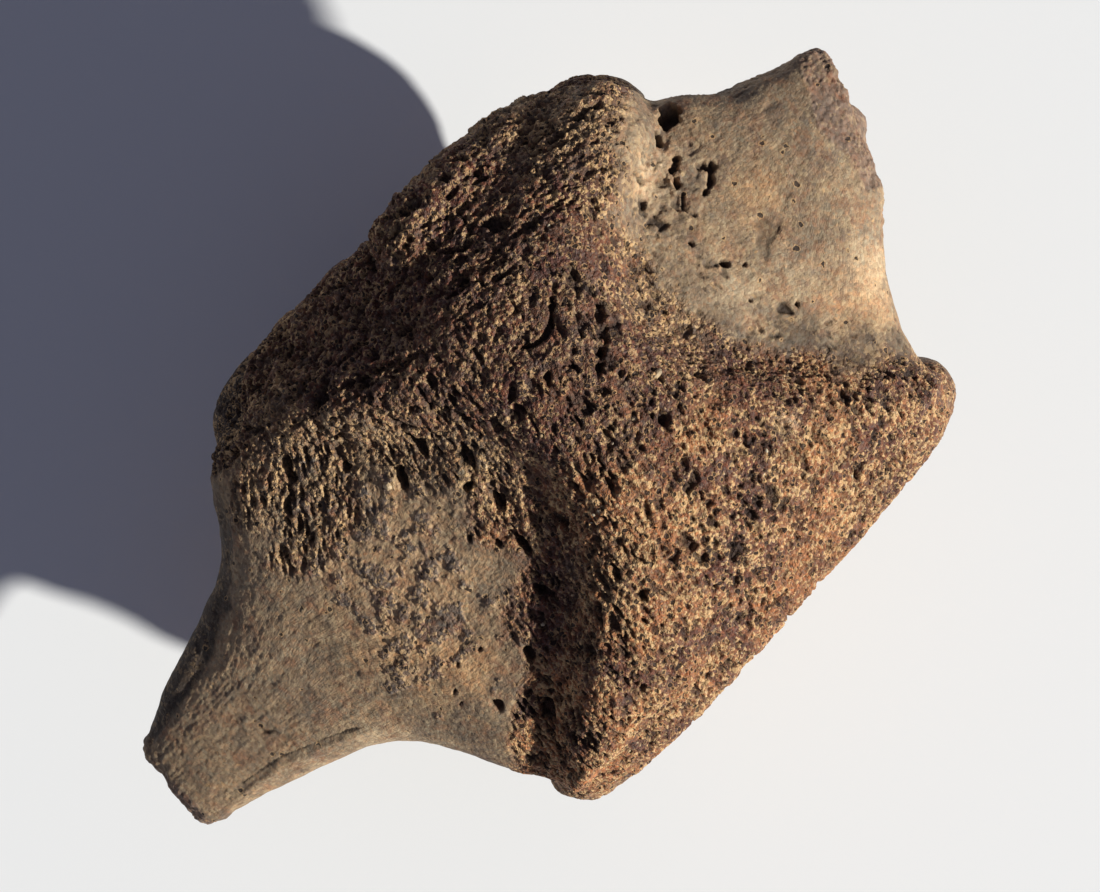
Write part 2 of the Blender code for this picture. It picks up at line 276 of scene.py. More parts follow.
@dataclass(frozen=True)
class ZoneMap:
    """Where each kind of surface lies, as weights from 0 to 1.

    Attributes:
        right_y, right_edge: where the bare sponge ends toward the right blade.
        left_y, left_edge: where it ends toward the left blade.
        edge_waver, waver_pitch: how far the edges wander, and in what lumps.
        edge_width: half the width of the sponge's edge.
        top_z: height above which the keel's sponge is bare.
        top_width: half the width of that edge.
        end_y: where the end faces begin, as places along Y.
        end_top: how much lower and higher the top's edge reaches there.
        end_facing: how far a point of an end face has to face along Y.
        slope_y, slope_width: where the head end's slope begins, and how softly.
        facet_y, facet_lean: the line where the tail end's facet begins.
        facet_edge: how softly it begins.
        end_waver, facet_waver: how far these edges wander, as shares of the others.
        wall_middle, wall_reach: where the slotted wall lies.
        wall_edge: where it thins out, as shares of its reach.
        valley_width: width of the band of half-closed bone beside the left blade.
        valley_edge, valley_end: where the band begins, in millimetres from the
            sponge's edge, and where it thins out, as shares of its width.
        chip_y, chip_edge: where the left blade's broken face begins.
        right_tip: where the right blade's broken face begins.
        tip_waver: how far the broken faces' edges wander, as a share of the others.
        tip_edge: how softly the broken faces begin.
        tip_sink, tip_reach: how steeply they fall in, and over what distance.
    """

    right_y: tuple[float, ...] = (
        -36.0, -30.0, -20.0, -14.0, -4.0, 5.0, 14.5, 22.0, 25.0, 30.0, 36.0)
    right_edge: tuple[float, ...] = (
        -44.0, -43.0, -37.0, -27.5, -18.5, -18.5, -22.0, -26.0, -29.0, -36.0, -44.0)
    left_y: tuple[float, ...] = (-36.0, -27.0, -18.5, -6.7, 3.0, 13.5, 19.3, 26.0, 36.0)
    left_edge: tuple[float, ...] = (44.0, 35.0, 25.0, 17.5, 17.5, 21.0, 27.0, 36.0, 44.0)
    edge_waver: float = 3.5
    waver_pitch: float = 5.0
    edge_width: float = 2.5
    top_z: float = 30.0
    top_width: float = 3.0
    end_y: Span = (25.0, 31.0)
    end_top: Span = (7.0, 2.0)
    end_facing: Span = (0.2, 0.6)
    slope_y: float = 18.0
    slope_width: float = 3.0
    facet_y: float = -5.2
    facet_lean: float = -0.33
    facet_edge: Span = (-2.0, 2.5)
    end_waver: float = 0.5
    facet_waver: float = 0.6
    wall_middle: Place = (-30.5, 19.5, 41.0)
    wall_reach: float = 10.5
    wall_edge: Span = (0.55, 1.05)
    valley_width: float = 9.0
    valley_edge: Span = (-1.5, 0.5)
    valley_end: Span = (0.5, 1.0)
    chip_y: tuple[float, ...] = (-9.0, -6.5, -4.2, -0.5, 3.2, 8.4, 14.0)
    chip_edge: tuple[float, ...] = (47.5, 42.5, 44.0, 44.4, 44.3, 47.5, 53.0)
    right_tip: float = -71.2
    tip_waver: float = 0.25
    tip_edge: Span = (-0.3, 0.5)
    tip_sink: float = 0.18
    tip_reach: float = 4.0

    def broken(self, surface: Surface, waver: Array) -> Array:
        """How far onto a blade's broken end each point lies, in millimetres."""
        left = surface.x - np.interp(surface.y, self.chip_y, self.chip_edge)
        return np.maximum(left, self.right_tip - surface.x) + self.tip_waver * waver

    def weigh(self, surface: Surface) -> dict[Zone, Array]:
        """The weight of each kind of surface at each point.

        Args:
            surface: the skin's points.

        Returns:
            One array for each zone.
        """
        x, y = surface.x, surface.y
        waver = Noise(11).fractal(surface.points / self.waver_pitch, 4, 0.6) * self.edge_waver
        right = np.interp(y, self.right_y, self.right_edge)
        left = np.interp(y, self.left_y, self.left_edge)
        inside = np.minimum(x - right, left - x) + waver
        near_end = ramp(self.end_y, np.abs(y) + waver * self.end_waver)
        low, high = self.end_top
        top = smoothstep(self.top_z - self.top_width - low * near_end,
                         self.top_z + self.top_width + high * near_end,
                         surface.z + waver * (1.0 + near_end))
        bare = smoothstep(-self.edge_width, self.edge_width, inside) * top
        end = near_end * (1.0 - top) * ramp(self.end_facing, np.abs(surface.normals[:, 1]))
        chipped = self.broken(surface, waver)
        chip = ramp(self.tip_edge, chipped)
        surface.lift -= np.clip(chipped, 0.0, self.tip_reach) * self.tip_sink
        away = surface.away(self.wall_middle)
        wall = 1.0 - ramp(self.wall_edge, (away + waver) / self.wall_reach)
        slope = smoothstep(-self.slope_width, self.slope_width, y - self.slope_y + waver) * bare
        facet_line = self.facet_y + self.facet_lean * x
        facet = ramp(self.facet_edge, facet_line - y + waver * self.facet_waver) * (bare - slope)
        keel = bare - slope - facet
        others = {Zone.FACET: facet, Zone.KEEL: keel, Zone.SLOPE: slope, Zone.END: end}
        weights = {zone: weight * (1.0 - wall) for zone, weight in others.items()}
        weights[Zone.WALL] = wall
        weights[Zone.CHIP] = chip
        valley = ramp(self.valley_edge, x - left) * top
        valley *= 1.0 - ramp(self.valley_end, (x - left + waver) / self.valley_width)
        weights[Zone.VALLEY] = valley * (1.0 - bare)
        weights[Zone.BLADE] = (1.0 - bare) * (1.0 - end) * (1.0 - wall) * (1.0 - chip)
        return {zone: np.clip(weight, 0.0, 1.0).astype(np.float32)
                for zone, weight in weights.items()}


# ------------------------------------------------------------------ relief
@dataclass(frozen=True)
class Swells:
    """Broad unevenness, so that no part is as smooth as a machined one.

    Attributes:
        pitch: size of the broadest lump, in millimetres.
        height: its height on bare sponge.
        blade_height: its height on the smooth blades.
    """

    pitch: float = 8.0
    height: float = 0.55
    blade_height: float = 0.22

    def carve(self, surface: Surface, zones: dict[Zone, Array]) -> None:
        """Raise and lower the surface."""
        lumps = Noise(21).fractal(surface.points / self.pitch, 4, 0.55)
        height = blend(self.height, self.blade_height, zones[Zone.BLADE])
        surface.lift += lumps * height


@dataclass(frozen=True)
class Bulge:
    """A broad low rise.

    Attributes:
        at: its middle, in millimetres.
        reach: how far it spreads.
        height: how high it is.
        tall: how many times farther it spreads along Z.
    """

    at: Place
    reach: float
    height: float
    tall: float = 1.0

    def carve(self, surface: Surface) -> None:
        """Raise it."""
        away = (surface.points - np.array(self.at)) / np.array((1.0, 1.0, self.tall))
        away = np.linalg.norm(away, axis=1)
        surface.lift += self.height * (1.0 - smoothstep(0.0, 1.0, away / self.reach))


BULGES = (
    Bulge((-32.5, 33.0, 33.0), 5.0, 0.8),
    Bulge((50.9, 4.6, 40.5), 3.2, -1.3),
    Bulge((52.0, 10.2, 40.0), 3.0, -0.4),
    Bulge((49.8, -0.6, 39.0), 3.2, 1.5),
    Bulge((48.1, -4.1, 38.5), 3.5, 0.6),
    Bulge((50.5, 11.3, 38.0), 2.5, -0.6, 3.0),
    Bulge((41.0, 16.2, 39.0), 6.5, -1.4, 3.0),
    Bulge((37.0, 18.2, 40.0), 5.0, -0.7, 3.0),
    Bulge((46.5, 12.8, 38.0), 5.0, -0.9, 3.0),
    Bulge((24.5, 30.5, 40.0), 7.0, -0.2),
    Bulge((28.5, 29.0, 40.0), 8.0, -1.7),
    Bulge((32.6, -23.6, 40.0), 3.0, 0.6, 2.0),
    Bulge((33.0, -30.0, 38.0), 4.5, -0.8, 2.0),
)


@dataclass(frozen=True)
class Rim:
    """A raised edge along a bent line, with the bone falling away outside it.

    Attributes:
        line: its points in millimetres, seen from the keel side, with the
            inside on the left as it runs.
        height: how high its crest stands.
        reach: how far inside of the crest the rise begins.
        drop: how far the bone falls below its old level outside the crest.
        fall: over what distance it falls.
        lowest_z: height below which nothing changes.
        flare: how far the side face below the edge stands out.
        shade_darkness: how dark the painted shade outside the crest is, from 0 to 1.
        rise_z: over what height the change sets in above the lowest.
        fade: how far from the line's two ends the rim reaches its full height.
        flare_fade: the same for the flare, as places from the ends.
        flare_start: over what distance from the line the flare sets in.
        side_facing: how far the side face has to face sideways.
        outer: where the fall outside the crest ends, as distances from the line.
        downward: it also lies where the surface faces down no more than this.
        shade_start: where the painted shade begins, as distances from the line.
        ragged_pitch, raggedness: size and depth of the lumps in that edge.
    """

    line: Line
    height: float
    reach: float
    drop: float
    fall: float
    lowest_z: float
    flare: float = 0.0
    shade_darkness: float = 0.0
    rise_z: float = 8.0
    fade: float = 7.0
    flare_fade: Span = (2.0, 18.0)
    flare_start: float = 2.6
    side_facing: Span = (0.35, 0.8)
    outer: Span = (2.5, 6.0)
    downward: float = -0.3
    shade_start: Span = (0.1, 0.9)
    ragged_pitch: float = 2.0
    raggedness: float = 0.5

    def carve(self, surface: Surface) -> None:
        """Raise the crest and lower the outside."""
        weight = smoothstep(self.lowest_z, self.lowest_z + self.rise_z, surface.z)
        here = np.flatnonzero((weight > 0.0) & (surface.normals[:, 2] > self.downward))
        x, y = surface.x[here], surface.y[here]
        nearest = np.full(len(here), 1e3, np.float32)
        outside = np.zeros(len(here), bool)
        for start, end in zip(self.line, self.line[1:]):
            away = off_segment(x, y, start, end)
            turned = ((end[0] - start[0]) * (y - start[1])
                      - (end[1] - start[1]) * (x - start[0])) < 0.0
            nearer = away < nearest
            outside = np.where(nearer, turned, outside)
            nearest = np.where(nearer, away, nearest)
        rise = self.height * (1.0 - np.clip(nearest / self.reach, 0.0, 1.0)) ** 2
        fallen = smoothstep(0.0, 1.0, nearest / self.fall)
        lowered = self.height - (self.height + self.drop) * fallen
        (x0, y0), (x1, y1) = self.line[0], self.line[-1]
        ends = np.minimum(np.hypot(x - x0, y - y0), np.hypot(x - x1, y - y1))
        at_ends = smoothstep(0.0, self.fade, ends)
        if self.flare:
            sideways = ramp(self.side_facing, np.linalg.norm(surface.normals[here, :2], axis=1))
            flared = self.flare * ramp(self.flare_fade, ends)
            lowered = blend(lowered, flared, sideways * smoothstep(0.0, self.flare_start, nearest))
        fade = at_ends * np.where(outside, 1.0 - ramp(self.outer, nearest), 1.0)
        surface.lift[here] += np.where(outside, lowered, rise) * fade * weight[here]
        # Painted shade outside the crest, where the bone falls away from the light.
        ragged = self.raggedness * Noise(72).fractal(surface.points[here] / self.ragged_pitch, 3)
        dark = ramp(self.shade_start, nearest + ragged) * at_ends * outside
        surface.edge[here] = np.maximum(surface.edge[here], self.shade_darkness * dark * weight[here])


RIMS = (
    Rim(((34.0, 20.5), (31.0, 23.0), (27.3, 27.4), (22.3, 30.8), (16.0, 32.6), (10.8, 33.0),
         (-4.0, 33.5)), 1.9, 12.0, -0.3, 3.2, 30.0, 1.8),
    # The right blade's upper edge, with painted shade where it falls away from the light.
    Rim(((-36.0, 26.5), (-40.0, 23.0), (-43.9, 19.8), (-47.7, 16.8), (-55.2, 14.3),
         (-63.8, 13.0), (-74.0, 12.8)), 0.15, 4.0, 1.0, 2.4, 12.0, 1.7, 0.92),
    Rim(((-72.0, 1.5), (-65.1, 0.4), (-58.9, -0.7), (-53.6, -2.9), (-48.7, -5.2),
         (-43.0, -9.5)), 0.35, 1.2, 0.0, 1.4, 14.0),
)


@dataclass(frozen=True)
class Ragged:
    """Torn outline of the blades' broken ends.

    Attributes:
        pitch: size of the steps, in millimetres.
        height: how far they stand out.
        starts: the blades' ends lie beyond these places along X.
        fade: over what distance it sets in.
        side_facing: how far the surface has to face sideways.
    """

    pitch: float = 3.4
    height: float = 0.60
    starts: Span = (-67.0, 38.0)
    fade: float = 4.0
    side_facing: Span = (0.3, 0.8)

    def carve(self, surface: Surface) -> None:
        """Raise and lower the ends' edges."""
        low, high = self.starts
        ends = smoothstep(0.0, self.fade, np.maximum(surface.x - high, low - surface.x))
        flat = np.linalg.norm(surface.normals[:, :2], axis=1)
        steps = Noise(71).fractal(surface.points / self.pitch, 4, 0.65)
        surface.lift += steps * self.height * ends * ramp(self.side_facing, flat)


@dataclass(frozen=True)
class Sponge:
    """Open pores of bare spongy bone in one zone.

    Attributes:
        zone: where it lies.
        pitch: distance between pores, in millimetres.
        depth: how deep the deepest pores go.
        grain: direction in which the pores are drawn out.
        stretch: how many times longer than wide they are.
        openness: share of the cells that are open pores.
        darkness: how much painted shade the pores' insides get.
        seed: picks the pattern.
        side_share: how much of it is left where the surface faces sideways.
        side_facing: where that begins and ends, as the surface turns upward.
        warp: how far the cells' walls wander, as a share of the pitch.
        soft: half the step between closed and open cells.
        walls: thinnest and thickest walls between pores, as shares of the pitch.
        widths: radius of the smallest pore, and how much the largest adds to it.
        bank: where a pore's bank begins and ends, as shares of its radius.
        patch_pitch: size of the patches where the pores are deeper.
    """

    zone: Zone
    pitch: float
    depth: float
    grain: Place
    stretch: float
    openness: float
    darkness: float
    seed: int
    side_share: float = 1.0
    side_facing: Span = (0.15, 0.6)
    warp: float = 0.42
    soft: float = 0.12
    walls: Span = (0.04, 0.30)
    widths: Span = (0.42, 0.30)
    bank: Span = (0.55, 1.0)
    patch_pitch: float = 5.0

    def carve(self, surface: Surface, zones: dict[Zone, Array]) -> None:
        """Sink the pores."""
        weight = zones[self.zone]
        here = np.flatnonzero(weight > 0.02)
        if not len(here):
            return
        points = surface.points[here]
        along = np.array(self.grain, np.float32)
        along /= np.linalg.norm(along)
        run = points @ along
        drawn = points - np.outer(run * (1.0 - 1.0 / self.stretch), along)
        drawn = drawn / self.pitch
        warp = Noise(self.seed + 5)
        for axis in range(3):
            drawn[:, axis] += self.warp * warp.fractal(drawn * 1.3 + 7.7 * axis, 2, 0.6)
        near, next_near, number = Noise(self.seed).cells(drawn)
        closed = smoothstep(self.openness - self.soft, self.openness + self.soft, number)
        reach = self.widths[0] + self.widths[1] * (number / max(self.openness, 0.1))
        pore = ramp(self.walls, next_near - near) * (1.0 - ramp(self.bank, near / reach))
        pore *= 1.0 - closed
        patch = 0.75 + 0.6 * Noise(self.seed + 9).value(points / self.patch_pitch)
        strength = np.zeros(len(weight), np.float32)
        strength[here] = pore * np.clip(patch, 0.15, 1.25) * weight[here]
        strength *= blend(self.side_share, 1.0, ramp(self.side_facing, surface.normals[:, 2]))
        # The pores are sunk and marked for painted shade inside them.
        surface.sink(strength * self.depth, np.clip(strength * self.darkness, 0.0, 1.0))


ALONG = (-0.25, -0.95, -0.1)
ACROSS = (0.92, -0.35, 0.0)
DOWN = (-0.5, -0.75, -0.43)
ASKEW = (0.36, -0.93, -0.1)
SPONGES = (
    Sponge(Zone.FACET, 1.80, 0.80, ALONG, 1.7, 0.34, 1.2, 101, 0.35),
    Sponge(Zone.FACET, 1.08, 0.58, ALONG, 2.1, 0.80, 1.25, 111, 0.35),
    Sponge(Zone.FACET, 0.60, 0.22, ALONG, 1.3, 0.70, 0.6, 121),
    Sponge(Zone.KEEL, 2.10, 0.95, ALONG, 1.8, 0.30, 1.1, 102),
    Sponge(Zone.KEEL, 1.15, 0.55, ALONG, 1.8, 0.58, 1.1, 112),
    Sponge(Zone.KEEL, 0.66, 0.22, ALONG, 1.3, 0.55, 0.7, 122),
    Sponge(Zone.SLOPE, 2.20, 0.85, ACROSS, 1.9, 0.40, 1.0, 103),
    Sponge(Zone.SLOPE, 1.20, 0.80, ACROSS, 1.9, 0.82, 0.9, 113),
    Sponge(Zone.SLOPE, 0.72, 0.30, ACROSS, 1.3, 0.70, 0.6, 123),
    Sponge(Zone.WALL, 1.05, 0.95, DOWN, 2.8, 0.80, 1.1, 104),
    Sponge(Zone.WALL, 0.70, 0.35, DOWN, 2.4, 0.50, 0.8, 114),
    Sponge(Zone.END, 1.70, 0.45, ACROSS, 1.1, 0.40, 1.0, 105),
    Sponge(Zone.END, 0.90, 0.28, ACROSS, 1.1, 0.75, 0.8, 115),
    Sponge(Zone.CHIP, 0.90, 0.14, ACROSS, 1.2, 0.30, 0.4, 116),
    Sponge(Zone.VALLEY, 1.60, 0.50, ASKEW, 1.7, 0.16, 1.1, 107),
    Sponge(Zone.VALLEY, 0.85, 0.24, ASKEW, 1.8, 0.36, 0.8, 117),
    Sponge(Zone.BLADE, 3.60, 0.45, ACROSS, 1.3, 0.035, 1.0, 106),
    Sponge(Zone.BLADE, 1.30, 0.14, ACROSS, 1.6, 0.08, 0.5, 118),
)


@dataclass(frozen=True)
class Crumbs:
    """Fine crumbly grain of the bare sponge, and faint grain of the blades.

    Attributes:
        pitch: size of a crumb, in millimetres.
        height: its height on bare sponge.
        slope_height: its height on the head end's slope.
        blade_height: its height on the smooth blades.
        side_share: how much of it is left where the surface faces sideways.
        side_facing: where that begins and ends, as the surface turns upward.
        finer: size and height of the finer grain, as shares of the coarser.
    """

    pitch: float = 0.62
    height: float = 0.15
    slope_height: float = 0.21
    blade_height: float = 0.045
    side_share: float = 0.25
    side_facing: Span = (0.1, 0.6)
    finer: Span = (0.45, 0.7)

    def carve(self, surface: Surface, zones: dict[Zone, Array]) -> None:
        """Raise the crumbs."""
        coarse = 1.0 - 2.0 * np.abs(Noise(25).value(surface.points / self.pitch))
        fine = Noise(26).value(surface.points / (self.finer[0] * self.pitch))
        height = blend(self.height, self.slope_height, zones[Zone.SLOPE])
        height = blend(height, self.blade_height, zones[Zone.BLADE])
        height *= blend(self.side_share, 1.0, ramp(self.side_facing, surface.normals[:, 2]))
        surface.lift += (coarse + self.finer[1] * fine) * height


@dataclass(frozen=True)
class Fibres:
    """Fine ridges of the smooth outer bone, running out along the blades.

    Attributes:
        pitch: width of a ridge, in millimetres.
        run: its length.
        height: its height.
        left_share: how much of it is left on the left blade.
        out_x, middle_y, half_width: the blades' middle line and half width
            at places along X, which the fibres follow.
        usual_half: the half width at which a ridge has its pitch.
    """

    pitch: float = 0.52
    run: float = 2.8
    height: float = 0.07
    left_share: float = 0.40
    usual_half: float = 14.0
    out_x: tuple[float, ...] = (-74.0, -55.0, -44.0, -35.0, -20.0, 20.0, 31.0, 38.0, 44.0, 54.0)
    middle_y: tuple[float, ...] = (7.8, 6.0, 5.6, 1.0, 0.0, 0.0, -4.0, -1.1, 0.1, 1.1)
    half_width: tuple[float, ...] = (7.0, 11.0, 17.0, 27.0, 30.0, 30.0, 24.0, 17.0, 12.5, 9.0)

    def fan(self, surface: Surface) -> Array:
        """Places laid out so that the blades' fibres run straight along the first axis."""
        middle = np.interp(surface.x, self.out_x, self.middle_y)
        half = np.interp(surface.x, self.out_x, self.half_width)
        across = (surface.y - middle) / half * self.usual_half
        return np.stack([surface.x / self.run, across / self.pitch,
                         surface.z / (self.pitch * 2.5)], axis=1).astype(np.float32)

    def carve(self, surface: Surface, zones: dict[Zone, Array]) -> None:
        """Raise the fibres."""
        laid = self.fan(surface)
        fine = Noise(31).fractal(laid, 2, 0.6)
        broad = Noise(32).value(laid / np.array([1.5, 3.0, 3.0], np.float32))
        weight = zones[Zone.BLADE] * blend(1.0, self.left_share, smoothstep(0.0, 15.0, surface.x))
        surface.lift += weight * self.height * (fine + 0.8 * broad)
        surface.fan = laid
        surface.marks["fibrous"] = weight


@dataclass(frozen=True)
class Pit:
    """A hole or dent seen from the keel side.

    Attributes:
        x, y: its middle, in millimetres.
        length, width: its two spans.
        turn: direction of its length from +X, in degrees.
        depth: how deep it goes.
    """

    x: float
    y: float
    length: float
    width: float
    turn: float
    depth: float


@dataclass(frozen=True)
class Crack:
    """A crack or torn edge along a bent line.

    Attributes:
        line: its points in millimetres, seen from the keel side.
        width: its width.
        depth: its depth.
    """

    line: Line
    width: float
    depth: float


PITS = (
    Pit(-16.3, 5.2, 1.3, 1.1, 0.0, 1.5),
    Pit(-15.3, 1.2, 2.7, 1.3, 70.0, 1.7),
    Pit(-17.3, -4.6, 3.2, 1.3, 80.0, 1.6),
    Pit(-19.0, -2.0, 1.3, 0.8, 60.0, 0.9),
    Pit(-20.9, 0.8, 1.0, 0.7, 40.0, 0.7),
    Pit(33.4, 17.2, 3.9, 2.7, 20.0, 2.6),
    Pit(29.9, 16.5, 2.4, 1.2, 65.0, 1.3),
    Pit(24.6, 14.9, 2.0, 0.8, 75.0, 0.9),
    Pit(22.6, 12.4, 1.3, 0.9, 60.0, 0.8),
    Pit(23.2, 4.8, 1.2, 0.8, 100.0, 0.8),
    Pit(24.2, 0.2, 1.5, 1.0, 110.0, 1.3),
    Pit(25.7, -1.5, 0.7, 0.5, 0.0, 0.6),
    Pit(26.4, -9.4, 0.8, 0.6, 90.0, 0.6),
    Pit(22.9, -5.0, 0.8, 0.5, 90.0, 0.5),
    Pit(-0.6, 6.5, 1.9, 1.3, 30.0, 1.0),
    Pit(2.4, 5.6, 1.2, 0.8, 120.0, 0.8),
    Pit(-21.0, 11.8, 3.0, 1.5, 70.0, 1.4),
    Pit(-24.7, 17.8, 1.8, 1.3, 60.0, 1.1),
    Pit(-29.6, 22.8, 3.2, 1.4, 60.0, 1.4),
    Pit(-26.5, -14.0, 2.2, 1.4, 70.0, 1.3),
    Pit(-34.0, -15.3, 2.0, 1.2, 100.0, 1.0),
    Pit(-30.2, -9.1, 0.7, 0.6, 0.0, 0.6),
    Pit(-33.4, -8.4, 0.8, 0.5, 30.0, 0.5),
    Pit(-36.3, -10.4, 0.9, 0.5, 10.0, 0.5),
    Pit(-37.0, -12.0, 0.6, 0.4, 10.0, 0.4),
)

CRACKS = (
    Crack(((6.7, 12.4), (3.7, 10.4), (1.4, 10.4), (-0.5, 11.9)), 0.9, 0.9),
    Crack(((10.2, 8.2), (7.4, 4.7), (4.3, 3.0)), 1.2, 1.1),
    Crack(((29.6, 13.2), (28.0, 12.2), (27.5, 10.9)), 1.1, 1.2),
    Crack(((31.4, 10.6), (31.6, 9.2), (30.6, 8.2), (28.9, 7.5)), 1.1, 1.2),
    Crack(((26.9, 9.6), (25.6, 8.4), (26.0, 6.9)), 0.5, 0.5),
    Crack(((-64.5, 1.3), (-58.4, 0.1), (-53.0, -2.3), (-48.5, -4.6)), 0.32, 0.12),
)


@dataclass(frozen=True)
class Damage:
    """The holes and cracks that this one bone has.

    Attributes:
        pits: its holes and dents.
        cracks: its cracks.
        raggedness: how far their edges wander, as a share of their width.
        gaps: how far the cracks close here and there, as a share of their width.
        lowest_z, upward: they lie only above this height, where the surface
            faces upward more than this.
        ragged_pitch, gap_pitch: size of the wandering and of the gaps.
    """

    pits: tuple[Pit, ...] = PITS
    cracks: tuple[Crack, ...] = CRACKS
    raggedness: float = 0.45
    gaps: float = 0.5
    lowest_z: float = 24.0
    upward: float = 0.15
    ragged_pitch: float = 0.9
    gap_pitch: float = 1.0

    def carve(self, surface: Surface) -> None:
        """Sink every hole and crack, and mark their insides for painted shade."""
        above = (surface.z > self.lowest_z) & (surface.normals[:, 2] > self.upward)
        here = np.flatnonzero(above)
        points = surface.points[here]
        x, y = points[:, 0], points[:, 1]
        waver = Noise(41).fractal(points / self.ragged_pitch, 2) * self.raggedness
        gaps = smoothstep(-0.1, 0.4, Noise(42).value(points / self.gap_pitch)) * self.gaps
        depth = np.zeros(len(here), np.float32)
        dark = np.zeros(len(here), np.float32)
        for pit in self.pits:
            turn = math.radians(pit.turn)
            along = (x - pit.x) * math.cos(turn) + (y - pit.y) * math.sin(turn)
            across = (y - pit.y) * math.cos(turn) - (x - pit.x) * math.sin(turn)
            away = np.hypot(2.0 * along / pit.length, 2.0 * across / pit.width)
            inside = 1.0 - smoothstep(0.62, 1.08, away + waver)
            depth = np.maximum(depth, inside * pit.depth)
            dark = np.maximum(dark, inside)
        for crack in self.cracks:
            for start, end in zip(crack.line, crack.line[1:]):
                away = off_segment(x, y, start, end) / (crack.width / 2.0) + waver * 1.8 + gaps
                inside = 1.0 - smoothstep(0.5, 1.15, away)
                depth = np.maximum(depth, inside * crack.depth)
                dark = np.maximum(dark, inside)
        surface.lift[here] -= depth
        surface.cavity[here] = np.maximum(surface.cavity[here], dark)


@dataclass(frozen=True)
class Crust:
    """Thin dark plates left on the blades' smooth bone.

    Attributes:
        middle: where they lie thickest.
        reach: how far from there they thin out.
        pitch: distance between plates, in millimetres.
        thickness: how far a plate stands up.
        cover: how densely they lie.
        seed: picks their outlines.
        thin_out: where they thin out, as shares of the reach.
        upward: where they begin and lie fully, as the surface turns upward.
        wander: how far their outlines wander, as a share of the pitch.
        largest: radius of the largest, as a share of the pitch.
        bank: width of their sloping edges, as a share of the pitch.
        grit_pitch, grit_height: the grit on them.
        edge_shade: how dark the painted shadow along their edges is.
    """

    middle: Place
    reach: float
    pitch: float
    thickness: float
    cover: float
    seed: int
    thin_out: Span = (0.35, 1.2)
    upward: Span = (0.35, 0.75)
    wander: float = 0.55
    largest: float = 0.72
    bank: float = 0.11
    grit_pitch: float = 0.7
    grit_height: float = 0.07
    edge_shade: float = 0.22

    def carve(self, surface: Surface, zones: dict[Zone, Array]) -> None:
        """Raise the plates and mark them."""
        plenty = 1.0 - ramp(self.thin_out, surface.away(self.middle) / self.reach)
        bare = zones[Zone.FACET] + zones[Zone.SLOPE] + 0.55 * zones[Zone.KEEL]
        hidden = 1.0 - ramp(self.upward, surface.normals[:, 2])
        share = self.cover * plenty - 0.7 * bare - 0.8 * hidden - 0.9 * zones[Zone.END]
        drawn = surface.points / self.pitch
        for axis in range(3):
            warp = Noise(self.seed + 5 + axis)
            laid = surface.points / self.pitch * 1.5
            drawn[:, axis] += self.wander * warp.fractal(laid, 4, 0.6)
        near, _, number = Noise(self.seed).cells(drawn)
        size = self.largest * smoothstep(0.0, 0.35, share - number)
        plate = smoothstep(0.0, self.bank, size - near)
        # A thin ring of painted shadow around each plate.
        edge = self.edge_shade * 4.0 * plate * (1.0 - plate)
        surface.cavity = np.maximum(surface.cavity * (1.0 - 0.5 * plate), edge)
        grit = Noise(self.seed + 2).fractal(surface.points / self.grit_pitch, 2, 0.6)
        surface.lift += plate * self.thickness + self.grit_height * plate * grit
        before = surface.marks.get("crust", 0.0)
        surface.marks["crust"] = np.maximum(plate, before)


CRUSTS = (
    Crust((-26.0, 10.0, 44.0), 16.0, 2.0, 0.16, 0.56, 51),
    Crust((-32.0, -3.0, 43.0), 14.0, 1.5, 0.17, 0.52, 57),
    Crust((-33.0, 1.0, 43.0), 12.0, 2.8, 0.14, 0.38, 59),
)


@dataclass(frozen=True)
class Layers:
    """Outer layers of the bone that have flaked off in steps.

    Attributes:
        middle: where they lie.
        reach: how far they spread.
        pitch: size of the flakes, in millimetres.
        step: height of each step.
        seed: picks their outlines.
        levels: how many steps the highest flake is up.
        thin_out: where they thin out, as shares of the reach.
        bank: where the rise between two steps lies, as shares of a step.
        foot: where the painted shade at the foot of a step begins and ends, in the same shares.
        foot_shade: how dark it is.
    """

    middle: Place
    reach: float
    pitch: float
    step: float
    seed: int
    levels: float = 2.4
    thin_out: Span = (0.6, 1.1)
    bank: Span = (0.40, 0.60)
    foot: tuple[float, float, float] = (0.22, 0.42, 0.52)
    foot_shade: float = 0.35

    def carve(self, surface: Surface, zones: dict[Zone, Array]) -> None:
        """Take the flakes off."""
        weight = 1.0 - ramp(self.thin_out, surface.away(self.middle) / self.reach)
        weight *= 1.0 - zones[Zone.FACET]
        levels = self.levels * Noise(self.seed).fractal(surface.points / self.pitch, 4, 0.5)
        level = np.floor(levels)
        edge = levels - level
        stair = level + ramp(self.bank, edge)
        surface.lift += weight * self.step * stair
        # Painted shade along the foot of each step.
        start, deepest, end = self.foot
        foot = smoothstep(start, deepest, edge) * (1.0 - smoothstep(deepest, end, edge))
        surface.cavity = np.maximum(surface.cavity, self.foot_shade * foot * weight)


LAYERS = (
    Layers((27.0, 14.5, 48.0), 8.0, 5.5, 0.26, 131),
    Layers((-29.0, 4.0, 44.0), 19.0, 4.2, 0.07, 132),
)


